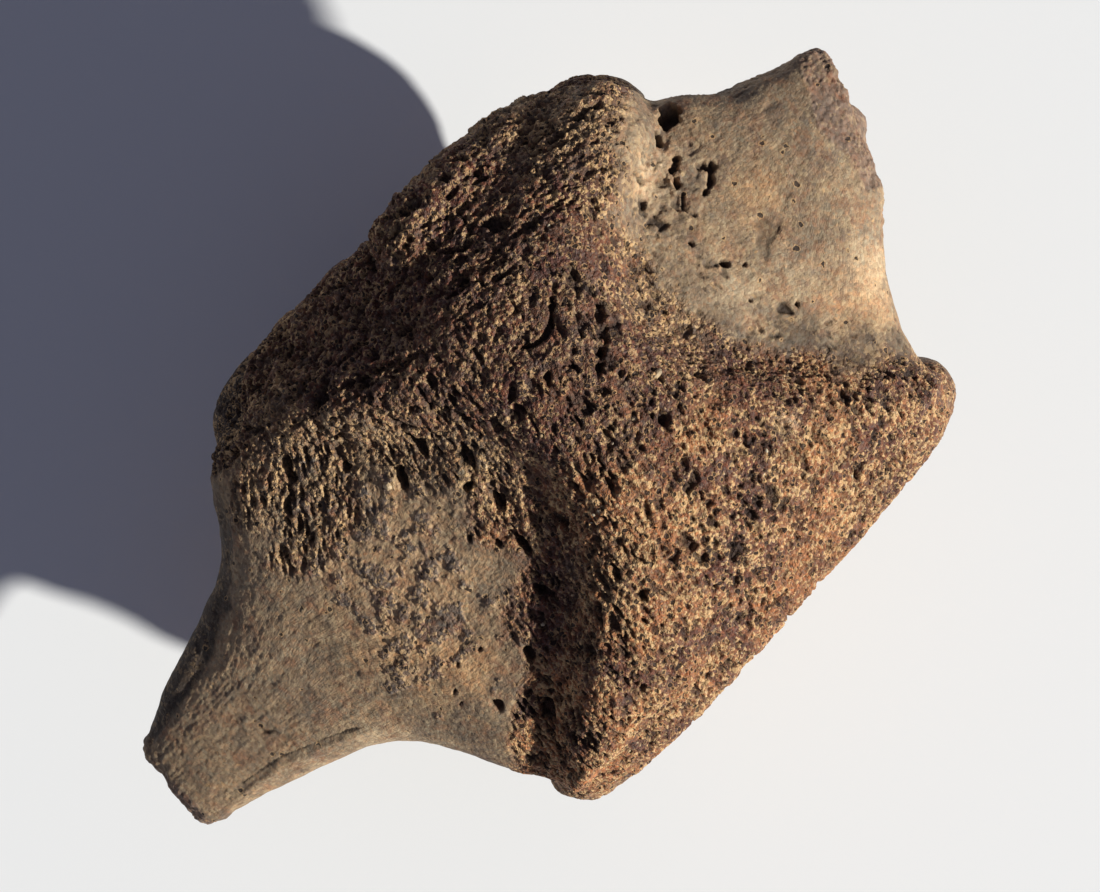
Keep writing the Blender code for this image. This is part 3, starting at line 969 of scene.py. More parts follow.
@dataclass(frozen=True)
class Rays:
    """Shallow grooves that run out from the middle of the bare end faces.

    Attributes:
        middle_z: height of the faces' middle, in millimetres.
        spread: how many grooves there are, as lumps of noise around the middle.
        run: how far a groove runs before it wanders off.
        depth: how deep it is.
        from_y, end_width: the faces lie farther out than this, and how softly
            they begin.
        facing: how far a point has to face along Y.
        clear: distances from the middle where the grooves begin.
        width, dark_width: widths of a groove and of its bottom with painted shade, in noise.
        darkness: how dark that painted shade is.
        other_end: a step in the noise, so that the two faces differ.
    """

    middle_z: float = 24.0
    spread: float = 9.0
    run: float = 9.0
    depth: float = 0.55
    from_y: float = 27.0
    end_width: float = 5.0
    facing: Span = (0.55, 0.85)
    clear: Span = (3.0, 10.0)
    width: float = 0.35
    dark_width: float = 0.2
    darkness: float = 0.4
    other_end: float = 40.0

    def carve(self, surface: Surface) -> None:
        """Sink the grooves."""
        up = surface.z - self.middle_z
        out = np.hypot(surface.x, up) + 0.01
        side = np.where(surface.y > 0.0, self.other_end, 0.0)
        laid = np.stack([surface.x / out * self.spread + side, up / out * self.spread,
                         out / self.run], axis=1).astype(np.float32)
        ridges = np.abs(Noise(141).fractal(laid, 3, 0.55))
        weight = smoothstep(self.from_y, self.from_y + self.end_width, np.abs(surface.y))
        weight *= ramp(self.facing, np.abs(surface.normals[:, 1])) * ramp(self.clear, out)
        groove = 1.0 - smoothstep(0.0, self.width, ridges)
        # Painted shade in the grooves' bottoms.
        bottom = 1.0 - smoothstep(0.0, self.dark_width, ridges)
        surface.sink(weight * self.depth * groove, weight * self.darkness * bottom)


# ------------------------------------------------------------------ stains
@dataclass(frozen=True)
class Patch:
    """A stained patch seen from any side.

    Attributes:
        at: its middle, in millimetres.
        reach: how far it spreads.
        strength: how strong it is, from 0 to 1.
    """

    at: Place
    reach: float
    strength: float


def patches(*lines: tuple[float, ...]) -> tuple[Patch, ...]:
    """Patches from lines of place, reach and strength."""
    return tuple(Patch(line[:3], *line[3:]) for line in lines)


@dataclass(frozen=True)
class Stains:
    """Stained patches, seen from any side, with patches of painted light and painted shade among
    them.

    Attributes:
        ochre: orange patches on the smooth bone.
        cream: pale patches; those along the head end's rim and the right blade's lower edge are
            painted light.
        umber: painted shade, very dark patches where the blades' upper edges and the ridges' walls
            turn away from the low light.
        wine: dark red-purple patches on the sponge.
        dun: grey-tan patches on the sponge; those near the head end's rim are painted light.
        ragged_pitch: size of the lumps that make their edges ragged.
        raggedness: how far these push the edges, as a share of the reach.
        fade: where a patch thins out, as shares of its reach.
    """

    ragged_pitch: float = 3.0
    raggedness: float = 0.35
    fade: Span = (0.25, 1.1)
    ochre: tuple[Patch, ...] = patches(
        (-34.5, -5.5, 42.0, 7.5, 1.0), (-32.8, -9.5, 42.8, 5.5, 0.9),
        (-37.5, -1.0, 41.5, 6.5, 0.8), (-30.0, 2.0, 44.0, 7.0, 0.8),
        (-25.0, 8.0, 45.0, 6.0, 0.6), (-29.5, 3.0, 44.0, 13.0, 0.55),
        (-29.0, 14.0, 43.5, 4.0, 0.5), (32.1, -14.7, 46.2, 6.0, 0.7),
        (33.0, 3.0, 47.0, 5.0, 0.5), (24.0, 16.0, 48.0, 4.0, 0.5),
        (-22.8, 12.1, 47.0, 2.0, 0.9),
    )
    # Pale patches: some are the bone's own colour; those along the head end's rim and along the
    # right blade's lower edge are painted light.
    cream: tuple[Patch, ...] = patches(
        (22.0, -4.0, 49.5, 4.5, 0.8), (36.0, -14.0, 45.0, 6.0, 0.75),
        (46.0, -7.0, 39.0, 3.2, 0.9), (27.0, 13.0, 48.5, 6.0, 0.8),
        (14.3, -17.6, 55.1, 2.4, 0.8), (30.0, -6.0, 47.0, 5.0, 0.4),
        (-48.0, -8.0, 33.0, 5.0, 0.6), (-42.0, -11.5, 34.0, 5.0, 0.6),
        (-56.0, -4.5, 28.0, 4.0, 0.4), (-55.0, 5.0, 33.0, 15.0, 0.16),
        (-30.0, 3.0, 44.0, 13.0, 0.30), (11.0, 33.0, 42.0, 7.0, 0.45),
        (19.5, 32.0, 42.0, 7.5, 0.50), (27.5, 29.0, 42.0, 6.5, 0.45),
    )
    # Painted shade: very dark patches along the edges and walls that face away from the low light.
    umber: tuple[Patch, ...] = patches(
        (-70.0, 16.0, 19.0, 5.5, 0.9), (-64.0, 16.5, 22.0, 5.5, 0.9),
        (-58.0, 17.0, 24.5, 5.5, 0.9), (-52.5, 18.5, 27.0, 5.5, 0.9),
        (-47.5, 20.5, 30.0, 5.5, 0.9), (-43.0, 23.5, 32.5, 5.5, 0.9),
        (-39.0, 26.5, 35.0, 5.5, 0.8), (45.0, 10.5, 38.0, 4.0, 0.8),
        (38.0, 14.0, 41.0, 4.0, 0.7), (24.3, -12.4, 50.0, 5.0, 0.70),
        (28.5, -18.5, 47.0, 5.0, 0.75), (31.5, -22.5, 45.0, 4.0, 0.60),
        (34.0, 3.0, 47.0, 15.0, 0.13), (42.0, 15.0, 38.0, 5.0, 0.7),
        (20.5, -4.0, 52.0, 4.0, 0.35), (28.0, 8.5, 49.0, 3.5, 0.35),
    )
    wine: tuple[Patch, ...] = patches(
        (-4.0, 20.0, 53.0, 13.0, 0.9), (9.0, 17.0, 56.0, 8.0, 0.7), (5.0, 5.0, 59.0, 12.0, 0.8),
        (-14.0, 24.0, 47.0, 12.0, 0.7), (-22.0, -14.0, 47.0, 8.0, 0.7),
        (14.0, 12.5, 57.0, 6.0, 0.8), (10.0, 28.0, 50.0, 9.0, 0.8),
    )
    # Grey-tan patches: those on the keel are the bone's own colour; those near the head end's rim
    # are painted light on a slope that faces away from the light.
    dun: tuple[Patch, ...] = patches(
        (-14.0, 7.0, 50.0, 9.0, 0.9), (-20.0, 16.0, 46.0, 11.0, 0.9),
        (-31.0, 21.0, 41.0, 14.0, 1.0), (24.0, 26.0, 50.0, 9.5, 0.8),
        (10.0, 33.0, 42.0, 7.0, 0.9), (19.0, 32.0, 42.0, 7.5, 1.0),
        (27.5, 29.5, 42.0, 6.5, 1.0), (18.0, 2.0, 52.0, 8.0, 0.7), (20.0, 12.0, 49.0, 8.0, 0.8),
        (-12.0, -14.0, 52.0, 7.0, 0.5),
    )

    def spread(self, surface: Surface, name: str, seed: int) -> Array:
        """One mask for all patches of one name, with ragged edges."""
        ragged = Noise(seed).fractal(surface.points / self.ragged_pitch, 4, 0.6)
        mask = np.zeros(len(surface.points), np.float32)
        for patch in getattr(self, name):
            away = surface.away(patch.at) / patch.reach + self.raggedness * ragged
            mask = np.maximum(mask, (1.0 - ramp(self.fade, away)) * patch.strength)
        return mask

    def masks(self, surface: Surface) -> dict[str, Array]:
        """All stains as named masks."""
        seeds = {"ochre": 61, "cream": 62, "umber": 69, "wine": 63, "dun": 64}
        return {name: self.spread(surface, name, seed) for name, seed in seeds.items()}


@dataclass(frozen=True)
class Clouds:
    """A cloudy mask for the material.

    Attributes:
        name: its name.
        pitch: size of its coarsest clouds, in millimetres.
        octaves, keep: how many sizes of cloud there are, and how strong each
            finer size is beside the one before.
        span: noise at which it begins and at which it is full.
        seed: picks the pattern.
    """

    name: str
    pitch: float
    octaves: int
    keep: float
    span: Span
    seed: int

    def mask(self, surface: Surface) -> Array:
        """Its strength at each point, from 0 to 1."""
        noise = Noise(self.seed).fractal(surface.points / self.pitch, self.octaves, self.keep)
        return ramp(self.span, noise)


CLOUDS = (
    Clouds("broad", 5.0, 4, 0.6, (-0.28, 0.28), 65),
    Clouds("wide", 8.0, 5, 0.6, (-0.22, 0.22), 66),
    Clouds("rusty", 1.7, 4, 0.7, (0.02, 0.55), 67),
    Clouds("smoky", 2.6, 4, 0.7, (0.02, 0.55), 68),
    Clouds("golden", 2.6, 3, 0.6, (-0.35, 0.45), 70),
)


# ------------------------------------------------------------------ the skin
@dataclass
class BoneSkin:
    """The one skin of the bone.

    Attributes:
        nodes: the solids that it stands for.
        voxel: width of the closed skin's cells, in metres.
        closing: how far the solids swell to close the cuts between them.
        smooth_length: over what length facets are smoothed off, in metres.
        shrink, swell: shares of the way to its neighbours that a point moves
            in the two halves of each round of smoothing.
        map_angle, islands: sharpest fold within a patch of the skin's map, in
            radians, and the margin between patches.
        worn_and_lit_height: height at which a point stands fully proud, in millimetres.
        crust_rough: share of the blades' smoothness that the crust takes away.
        end_smooth, end_facet: how far the end faces look like the smooth bone
            and like the tail end's facet.
        origin: the bone's own origin in the frame, in metres.
        name: the piece's name.
    """

    nodes: dict[str, bpy.types.Object]
    voxel: float = 0.00042
    closing: float = 0.00022
    smooth_length: float = 0.0016
    shrink: float = 0.55
    swell: float = -0.565
    map_angle: float = 1.15
    islands: float = 0.003
    worn_and_lit_height: float = 0.10
    crust_rough: float = 0.6
    end_smooth: float = 0.30
    end_facet: float = 0.35
    origin: Place = BONE_ORIGIN
    name: str = "bone_skin"

    def swollen_solids(self) -> bpy.types.Object:
        """All solids in one mesh, each swollen a little.

        Returns:
            A new object with the joined mesh.
        """
        joined = bmesh.new()
        for name in sorted(self.nodes):
            solid = bmesh.new()
            solid.from_mesh(self.nodes[name].data)
            bmesh.ops.remove_doubles(solid, verts=solid.verts, dist=1e-6)
            solid.normal_update()
            for vertex in solid.verts:
                vertex.co += vertex.normal * self.closing
            piece = bpy.data.meshes.new("swollen")
            solid.to_mesh(piece)
            solid.free()
            joined.from_mesh(piece)
            bpy.data.meshes.remove(piece)
        mesh = bpy.data.meshes.new(self.name)
        joined.to_mesh(mesh)
        joined.free()
        skin = bpy.data.objects.new(self.name, mesh)
        bpy.context.scene.collection.objects.link(skin)
        return skin

    def applied(self, skin: bpy.types.Object) -> None:
        """Turn the skin's modifiers into its mesh."""
        graph = bpy.context.evaluated_depsgraph_get()
        done = bpy.data.meshes.new_from_object(skin.evaluated_get(graph))
        old = skin.data
        skin.modifiers.clear()
        skin.data = done
        bpy.data.meshes.remove(old)

    def closed(self, skin: bpy.types.Object) -> None:
        """Close the cuts with an even mesh."""
        remesh = skin.modifiers.new("close", "REMESH")
        remesh.mode = "VOXEL"
        remesh.voxel_size = self.voxel
        self.applied(skin)

    def smoothed(self, skin: bpy.types.Object) -> None:
        """Smooth the facets off without shrinking the form."""
        mesh = skin.data
        count = len(mesh.vertices)
        places = rows(mesh.vertices, "co", 3).astype(np.float64)
        ends = edge_ends(mesh)
        valence = np.bincount(ends.ravel(), minlength=count)[:, None]
        rounds = int(round(2.2 * (self.smooth_length / self.voxel) ** 2))
        for step in range(2 * rounds):
            total = np.stack([
                np.bincount(ends[:, 0], places[ends[:, 1], axis], count)
                + np.bincount(ends[:, 1], places[ends[:, 0], axis], count)
                for axis in range(3)], axis=1)
            factor = self.shrink if step % 2 == 0 else self.swell
            places += factor * (total / valence - places)
        mesh.vertices.foreach_set("co", places.astype(np.float32).ravel())
        mesh.update()

    def unwrapped(self, skin: bpy.types.Object) -> None:
        """Lay the skin out flat in patches."""
        skin.data.uv_layers.new(name="OFBake")
        bpy.context.view_layer.objects.active = skin
        skin.select_set(True)
        bpy.ops.object.mode_set(mode="EDIT")
        bpy.ops.mesh.select_all(action="SELECT")
        bpy.ops.uv.smart_project(angle_limit=self.map_angle, island_margin=self.islands)
        bpy.ops.object.mode_set(mode="OBJECT")
        skin.select_set(False)

    def refined(self, skin: bpy.types.Object) -> None:
        """Give the skin four faces for each one."""
        subdivision = skin.modifiers.new("refine", "SUBSURF")
        subdivision.levels = 1
        subdivision.render_levels = 1
        self.applied(skin)

    def surface(self, skin: bpy.types.Object) -> Surface:
        """The skin's points and normals in the bone's own frame."""
        places = rows(skin.data.vertices, "co", 3)
        points = (places - np.array(self.origin, np.float32)) / MM
        return Surface(points.astype(np.float32), rows(skin.data.vertex_normals, "vector", 3))

    def moved(self, skin: bpy.types.Object, surface: Surface) -> None:
        """Move the points by what was carved, and keep them above the floor."""
        points = surface.points + surface.normals * surface.lift[:, None]
        places = points * MM + np.array(self.origin, np.float32)
        places[:, 2] = np.maximum(places[:, 2], 0.0)
        skin.data.vertices.foreach_set("co", places.astype(np.float32).ravel())
        skin.data.update()

    def worn_and_lit(self, skin: bpy.types.Object, surface: Surface) -> Array:
        """How far each point stands proud of its neighbours, from 0 to 1."""
        ends = edge_ends(skin.data)
        count = len(skin.data.vertices)
        valence = np.bincount(ends.ravel(), minlength=count)
        around = surface.lift.astype(np.float64)
        for _ in range(3):
            total = np.bincount(ends[:, 0], around[ends[:, 1]], count)
            total += np.bincount(ends[:, 1], around[ends[:, 0]], count)
            around = 0.4 * around + 0.6 * total / valence
        proud = (surface.lift - around) / self.worn_and_lit_height
        return np.clip(proud, 0.0, 1.0).astype(np.float32)

    def mark(self, skin: bpy.types.Object, name: str, values: Array) -> None:
        """Keep a mask on the skin for its material."""
        attribute = skin.data.attributes.new(name, "FLOAT", "POINT")
        attribute.data.foreach_set("value", values.astype(np.float32))

    def lay_fan(self, skin: bpy.types.Object, fan: Array) -> None:
        """Keep the fibres' layout on the skin for its material."""
        attribute = skin.data.attributes.new("fan", "FLOAT_VECTOR", "POINT")
        attribute.data.foreach_set("vector", fan.astype(np.float32).ravel())

    def masks(self, skin: bpy.types.Object, surface: Surface,
              zones: dict[Zone, Array]) -> dict[str, Array]:
        """All masks that the material reads.

        Args:
            skin: the carved skin.
            surface: its points, with what carving added up.
            zones: the weights of the kinds of surface.

        Returns:
            One array for each mask's name.
        """
        masks = surface.marks | Stains().masks(surface)
        masks |= {clouds.name: clouds.mask(surface) for clouds in CLOUDS}
        # The rims' painted shade joins the patches of painted shade.
        masks["umber"] = np.maximum(masks["umber"], surface.edge)
        masks["cavity"] = surface.cavity
        # Proud points, which the material paints golden, partly as wear and partly as painted
        # highlight.
        masks["worn_and_lit"] = self.worn_and_lit(skin, surface)
        masks["chip"] = zones[Zone.CHIP]
        smooth = zones[Zone.BLADE] * (1.0 - self.crust_rough * masks["crust"])
        smooth += self.end_smooth * zones[Zone.END] + masks["chip"]
        masks["blade"] = np.minimum(smooth, 1.0)
        masks["facet"] = zones[Zone.FACET] + self.end_facet * zones[Zone.END]
        return masks

    def carved(self, skin: bpy.types.Object) -> None:
        """Carve the relief and keep its masks."""
        surface = self.surface(skin)
        zones = ZoneMap().weigh(surface)
        Swells().carve(surface, zones)
        for form in (Ragged(), *BULGES, *RIMS):
            form.carve(surface)
        for texture in (*SPONGES, Crumbs(), Fibres(), *LAYERS, *CRUSTS):
            texture.carve(surface, zones)
        for form in (Rays(), Damage()):
            form.carve(surface)
        self.moved(skin, surface)
        self.lay_fan(skin, surface.fan)
        for name, values in self.masks(skin, surface, zones).items():
            self.mark(skin, name, values)

    def build(self) -> bpy.types.Object:
        """Make the whole skin.

        Returns:
            The finished skin, without its material.
        """
        skin = self.swollen_solids()
        self.closed(skin)
        self.smoothed(skin)
        LOG.info("closed skin: %d faces", len(skin.data.polygons))
        self.unwrapped(skin)
        self.refined(skin)
        self.carved(skin)
        skin.data.shade_smooth()
        LOG.info("carved skin: %d faces", len(skin.data.polygons))
        return skin


# ------------------------------------------------------------------ sand
@dataclass(frozen=True)
class Grain:
    """A grain of sand seen from the keel side.

    Attributes:
        x, y: where it lies, in millimetres.
        size: how wide it is.
    """

    x: float
    y: float
    size: float


@dataclass(frozen=True)
class LodgedSand:
    """Grains of sand and flakes that stick in the sponge's pores.

    Attributes:
        skin: the finished skin.
        grains: the large ones that this bone has.
        count: how many small ones there are.
        sizes: the smallest and the largest of these, in millimetres.
        sink: how deep a grain sits, as a share of its size.
        seed: picks their places.
        lowest: height above which they lie, in metres.
        upward: how far the skin there has to face upward, for large and small ones.
        hollow: how deep in a pore the small ones lie.
        bare: they lie only where less than this of the skin is smooth.
        name: the piece's name.
    """

    skin: bpy.types.Object
    grains: tuple[Grain, ...] = (
        Grain(2.7, -4.0, 1.25), Grain(8.5, -2.5, 1.35), Grain(-22.8, 12.3, 1.5),
        Grain(28.9, 11.3, 0.9), Grain(-9.3, 9.4, 0.8), Grain(-13.0, 5.2, 0.8),
    )
    count: int = 90
    sizes: tuple[float, float] = (0.28, 0.62)
    sink: float = 0.12
    seed: int = 81
    lowest: float = 0.030
    upward: Span = (0.3, 0.2)
    hollow: Span = (0.25, 0.7)
    bare: float = 0.4
    name: str = "lodged_sand"

    def add(self, mesh: bmesh.types.BMesh, at: Vector, size: float, draw: random.Random) -> None:
        """Add one uneven grain."""
        turn = Matrix.Rotation(draw.uniform(0.0, math.tau), 4, Vector(
            (draw.uniform(-1.0, 1.0), draw.uniform(-1.0, 1.0), draw.uniform(0.1, 1.0))))
        stretch = Matrix.Diagonal((draw.uniform(0.75, 1.2), draw.uniform(0.75, 1.2),
                                   draw.uniform(0.5, 0.9), 1.0))
        made = bmesh.ops.create_icosphere(mesh, subdivisions=2, radius=0.5 * size * MM)
        for vertex in made["verts"]:
            vertex.co *= draw.uniform(0.86, 1.12)
            vertex.co = turn @ stretch @ vertex.co + at

    def put(self, mesh: bmesh.types.BMesh, place: Array, normal: Array, size: float,
            draw: random.Random) -> None:
        """Put a grain on the skin, sunk a little."""
        at = Vector(place.tolist()) - Vector(normal.tolist()) * (size * self.sink * MM)
        self.add(mesh, at, size, draw)

    def build(self) -> bpy.types.Object:
        """All grains as one mesh.

        Returns:
            The new object, without its material.
        """
        data = self.skin.data
        places = rows(data.vertices, "co", 3)
        normals = rows(data.vertex_normals, "vector", 3)
        cavity = rows(data.attributes["cavity"].data, "value", 1)[:, 0]
        blade = rows(data.attributes["blade"].data, "value", 1)[:, 0]
        high = places[:, 2] > self.lowest
        above = np.flatnonzero((normals[:, 2] > self.upward[0]) & high)
        inside = (cavity > self.hollow[0]) & (cavity < self.hollow[1]) & (blade < self.bare)
        hollow = np.flatnonzero(inside & (normals[:, 2] > self.upward[1]) & high)
        draw = random.Random(self.seed)
        mesh = bmesh.new()
        own = (places[above] - np.array(BONE_ORIGIN, np.float32)) / MM
        for grain in self.grains:
            nearest = above[np.argmin(np.hypot(own[:, 0] - grain.x, own[:, 1] - grain.y))]
            self.put(mesh, places[nearest], normals[nearest], grain.size, draw)
        for _ in range(self.count):
            chosen = hollow[draw.randrange(len(hollow))]
            self.put(mesh, places[chosen], normals[chosen], draw.uniform(*self.sizes), draw)
        made = bpy.data.meshes.new(self.name)
        mesh.to_mesh(made)
        mesh.free()
        sand = bpy.data.objects.new(self.name, made)
        bpy.context.scene.collection.objects.link(sand)
        return sand


# ------------------------------------------------------------------ finishes
Socket = bpy.types.NodeSocket
Form = tuple[float, float, float]


@dataclass(frozen=True)
class Coat:
    """A colour that lies over others where a mask says.

    Attributes:
        mask: the mask's name.
        share: how strongly it covers.
        colour: linear red, green and blue.
    """

    mask: str
    share: float
    colour: Colour


class Shader:
    """Short ways to wire a node tree."""

    def __init__(self, tree: bpy.types.NodeTree) -> None:
        """Keep the tree that nodes are added to."""
        self.tree = tree

    def add(self, kind: str, **settings: object) -> bpy.types.Node:
        """A new node with some of its properties set."""
        node = self.tree.nodes.new(kind)
        for name, value in settings.items():
            setattr(node, name, value)
        return node

    def feed(self, socket: Socket, value: object) -> None:
        """Give a socket a value, or link it to another."""
        if isinstance(value, bpy.types.NodeSocket):
            self.tree.links.new(value, socket)
        elif isinstance(value, tuple) and socket.type == "RGBA":
            socket.default_value = (*value, 1.0)
        else:
            socket.default_value = value

    def mask(self, name: str, strength: float = 1.0) -> Socket:
        """A mask kept on the mesh, made weaker if asked."""
        found = self.add("ShaderNodeAttribute", attribute_name=name).outputs["Fac"]
        return found if strength == 1.0 else self.weaker(found, strength)

    def math(self, operation: str, a: object, b: object = 0.0, clamp: bool = False) -> Socket:
        """One sum with two values."""
        node = self.add("ShaderNodeMath", operation=operation, use_clamp=clamp)
        self.feed(node.inputs[0], a)
        self.feed(node.inputs[1], b)
        return node.outputs[0]

    def weaker(self, value: object, share: object) -> Socket:
        """A share of a value."""
        return self.math("MULTIPLY", value, share)

    def coat(self, under: Socket, coat: Coat) -> Socket:
        """A coat laid over a colour."""
        return self.tint(self.mask(coat.mask, coat.share), under, coat.colour)

    def tint(self, share: object, under: object, over: object, how: str = "MIX") -> Socket:
        """One colour laid over another."""
        node = self.add("ShaderNodeMix", data_type="RGBA", blend_type=how)
        self.feed(node.inputs[0], share)
        self.feed(node.inputs[6], under)
        self.feed(node.inputs[7], over)
        return node.outputs[2]

    def mix(self, share: object, under: object, over: object) -> Socket:
        """The value at a share of the way from one to the other."""
        node = self.add("ShaderNodeMix", data_type="FLOAT")
        self.feed(node.inputs[0], share)
        self.feed(node.inputs[2], under)
        self.feed(node.inputs[3], over)
        return node.outputs[0]

    def between(self, value: object, low: object, high: object) -> Socket:
        """A smooth rise from 0 at low to 1 at high."""
        node = self.add("ShaderNodeMapRange", interpolation_type="SMOOTHSTEP")
        self.feed(node.inputs["Value"], value)
        self.feed(node.inputs["From Min"], low)
        self.feed(node.inputs["From Max"], high)
        return node.outputs["Result"]

    def scaled(self, place: object, size: object) -> Socket:
        """Places counted in lumps, for lumps of a size in millimetres."""
        node = self.add("ShaderNodeVectorMath", operation="SCALE")
        self.feed(node.inputs[0], place)
        self.feed(node.inputs["Scale"], self.math("DIVIDE", 1.0 / MM, size))
        return node.outputs[0]

    def effect(self, group: bpy.types.NodeTree, **values: object) -> bpy.types.NodeOutputs:
        """Place a node group with its own values.

        Args:
            group: the shared node group.
            values: a value or a socket for each named input.

        Returns:
            The group node's outputs.
        """
        node = self.add("ShaderNodeGroup", node_tree=group)
        for name, value in values.items():
            self.feed(node.inputs[name], value)
        return node.outputs


def blank(name: str, roughness: float) -> tuple[bpy.types.Material, Shader, bpy.types.Node]:
    """A new material, its wiring helper and its surface shader."""
    material = bpy.data.materials.new(name)
    material.use_nodes = True
    surface = material.node_tree.nodes["Principled BSDF"]
    surface.inputs["Roughness"].default_value = roughness
    return material, Shader(material.node_tree), surface


class Effects:
    """Node groups that more than one material uses, each built once.

    Attributes:
        detail, roughness: how many finer sizes the mottle has, and how strong.
        wander_scale, wander: size and depth of the cells' unsteady edges.
        pore_widths: radius of the smallest and the largest fine pore.
        pore_bank, rim_bank: how the pores and their rims end.
    """

    detail: float = 4.0
    roughness: float = 0.62
    wander_scale: float = 1.6
    wander: float = 0.7
    pore_widths: Span = (0.16, 0.40)
    pore_bank: Span = (0.06, -0.04)
    rim_bank: Span = (0.24, 0.10)

    def __init__(self) -> None:
        """Build the groups."""
        self.mottle = self.build_mottle()
        self.grain = self.build_grain()
        self.pores = self.build_pores()

    def start(self, name: str, inputs: tuple[str, ...], outputs: tuple[str, ...]
              ) -> tuple[Shader, bpy.types.NodeOutputs, bpy.types.NodeInputs]:
        """A new group with its sockets.

        Args:
            name: the group's name.
            inputs: names of its inputs; "Place" is a vector, the others numbers.
            outputs: names of its outputs, all numbers.

        Returns:
            The group's wiring helper, and the sockets given and wanted.
        """
        shader = Shader(bpy.data.node_groups.new(name, "ShaderNodeTree"))
        sockets = shader.tree.interface
        for socket in inputs:
            kind = "NodeSocketVector" if socket == "Place" else "NodeSocketFloat"
            sockets.new_socket(socket, in_out="INPUT", socket_type=kind)
        for socket in outputs:
            sockets.new_socket(socket, in_out="OUTPUT", socket_type="NodeSocketFloat")
        given = shader.add("NodeGroupInput").outputs
        return shader, given, shader.add("NodeGroupOutput").inputs

    def clouds(self, shader: Shader, place: Socket, form: Form) -> Socket:
        """A mottled mask from a size in millimetres and the noise where it starts and is full."""
        size, low, high = form
        return shader.effect(self.mottle, Place=place, Size=size, Low=low, High=high)["Mask"]

    def build_mottle(self) -> bpy.types.NodeTree:
        """Cloudy patches: Place, Size in millimetres, Low and High give Mask."""
        shader, given, wanted = self.start("mottle", ("Place", "Size", "Low", "High"), ("Mask",))
        noise = shader.add("ShaderNodeTexNoise")
        shader.feed(noise.inputs["Vector"], shader.scaled(given["Place"], given["Size"]))
        noise.inputs["Scale"].default_value = 1.0
        noise.inputs["Detail"].default_value = self.detail
        noise.inputs["Roughness"].default_value = self.roughness
        mask = shader.between(noise.outputs["Fac"], given["Low"], given["High"])
        shader.feed(wanted["Mask"], mask)
        return shader.tree

    def crumbled(self, shader: Shader, place: Socket, size: Socket) -> bpy.types.Node:
        """Scattered cells with unsteady edges."""
        counted = shader.scaled(place, size)
        noise = shader.add("ShaderNodeTexNoise")
        shader.feed(noise.inputs["Vector"], counted)
        noise.inputs["Scale"].default_value = self.wander_scale
        noise.inputs["Detail"].default_value = 1.0
        push = shader.add("ShaderNodeVectorMath", operation="MULTIPLY_ADD")
        shader.feed(push.inputs[0], noise.outputs["Color"])
        push.inputs[1].default_value = (self.wander,) * 3
        shader.feed(push.inputs[2], counted)
        cells = shader.add("ShaderNodeTexVoronoi", feature="F1")
        shader.feed(cells.inputs["Vector"], push.outputs[0])
        cells.inputs["Scale"].default_value = 1.0
        return cells

    def build_grain(self) -> bpy.types.NodeTree:
        """Crumbly grains: Place and Size give each grain's Tone, Hue and Height."""
        shader, given, wanted = self.start("grain", ("Place", "Size"), ("Tone", "Hue", "Height"))
        cells = self.crumbled(shader, given["Place"], given["Size"])
        split = shader.add("ShaderNodeSeparateColor")
        shader.feed(split.inputs[0], cells.outputs["Color"])
        shader.feed(wanted["Tone"], split.outputs[0])
        shader.feed(wanted["Hue"], split.outputs[1])
        shader.feed(wanted["Height"], shader.math("SUBTRACT", 1.0, cells.outputs["Distance"]))
        return shader.tree

    def build_pores(self) -> bpy.types.NodeTree:
        """Fine pores: Place, Size and Share of cells that are open give Hole and Rim."""
        shader, given, wanted = self.start(
            "fine_pores", ("Place", "Size", "Share"), ("Hole", "Rim"))
        cells = self.crumbled(shader, given["Place"], given["Size"])
        split = shader.add("ShaderNodeSeparateColor")
        shader.feed(split.inputs[0], cells.outputs["Color"])
        opened = shader.math("LESS_THAN", split.outputs[0], given["Share"])
        width = shader.mix(split.outputs[1], *self.pore_widths)
        away = shader.math("SUBTRACT", cells.outputs["Distance"], width)
        hole = shader.between(away, *self.pore_bank)
        rim = shader.math("SUBTRACT", shader.between(away, *self.rim_bank), hole, clamp=True)
        shader.feed(wanted["Hole"], shader.weaker(hole, opened))
        shader.feed(wanted["Rim"], shader.weaker(rim, opened))
        return shader.tree


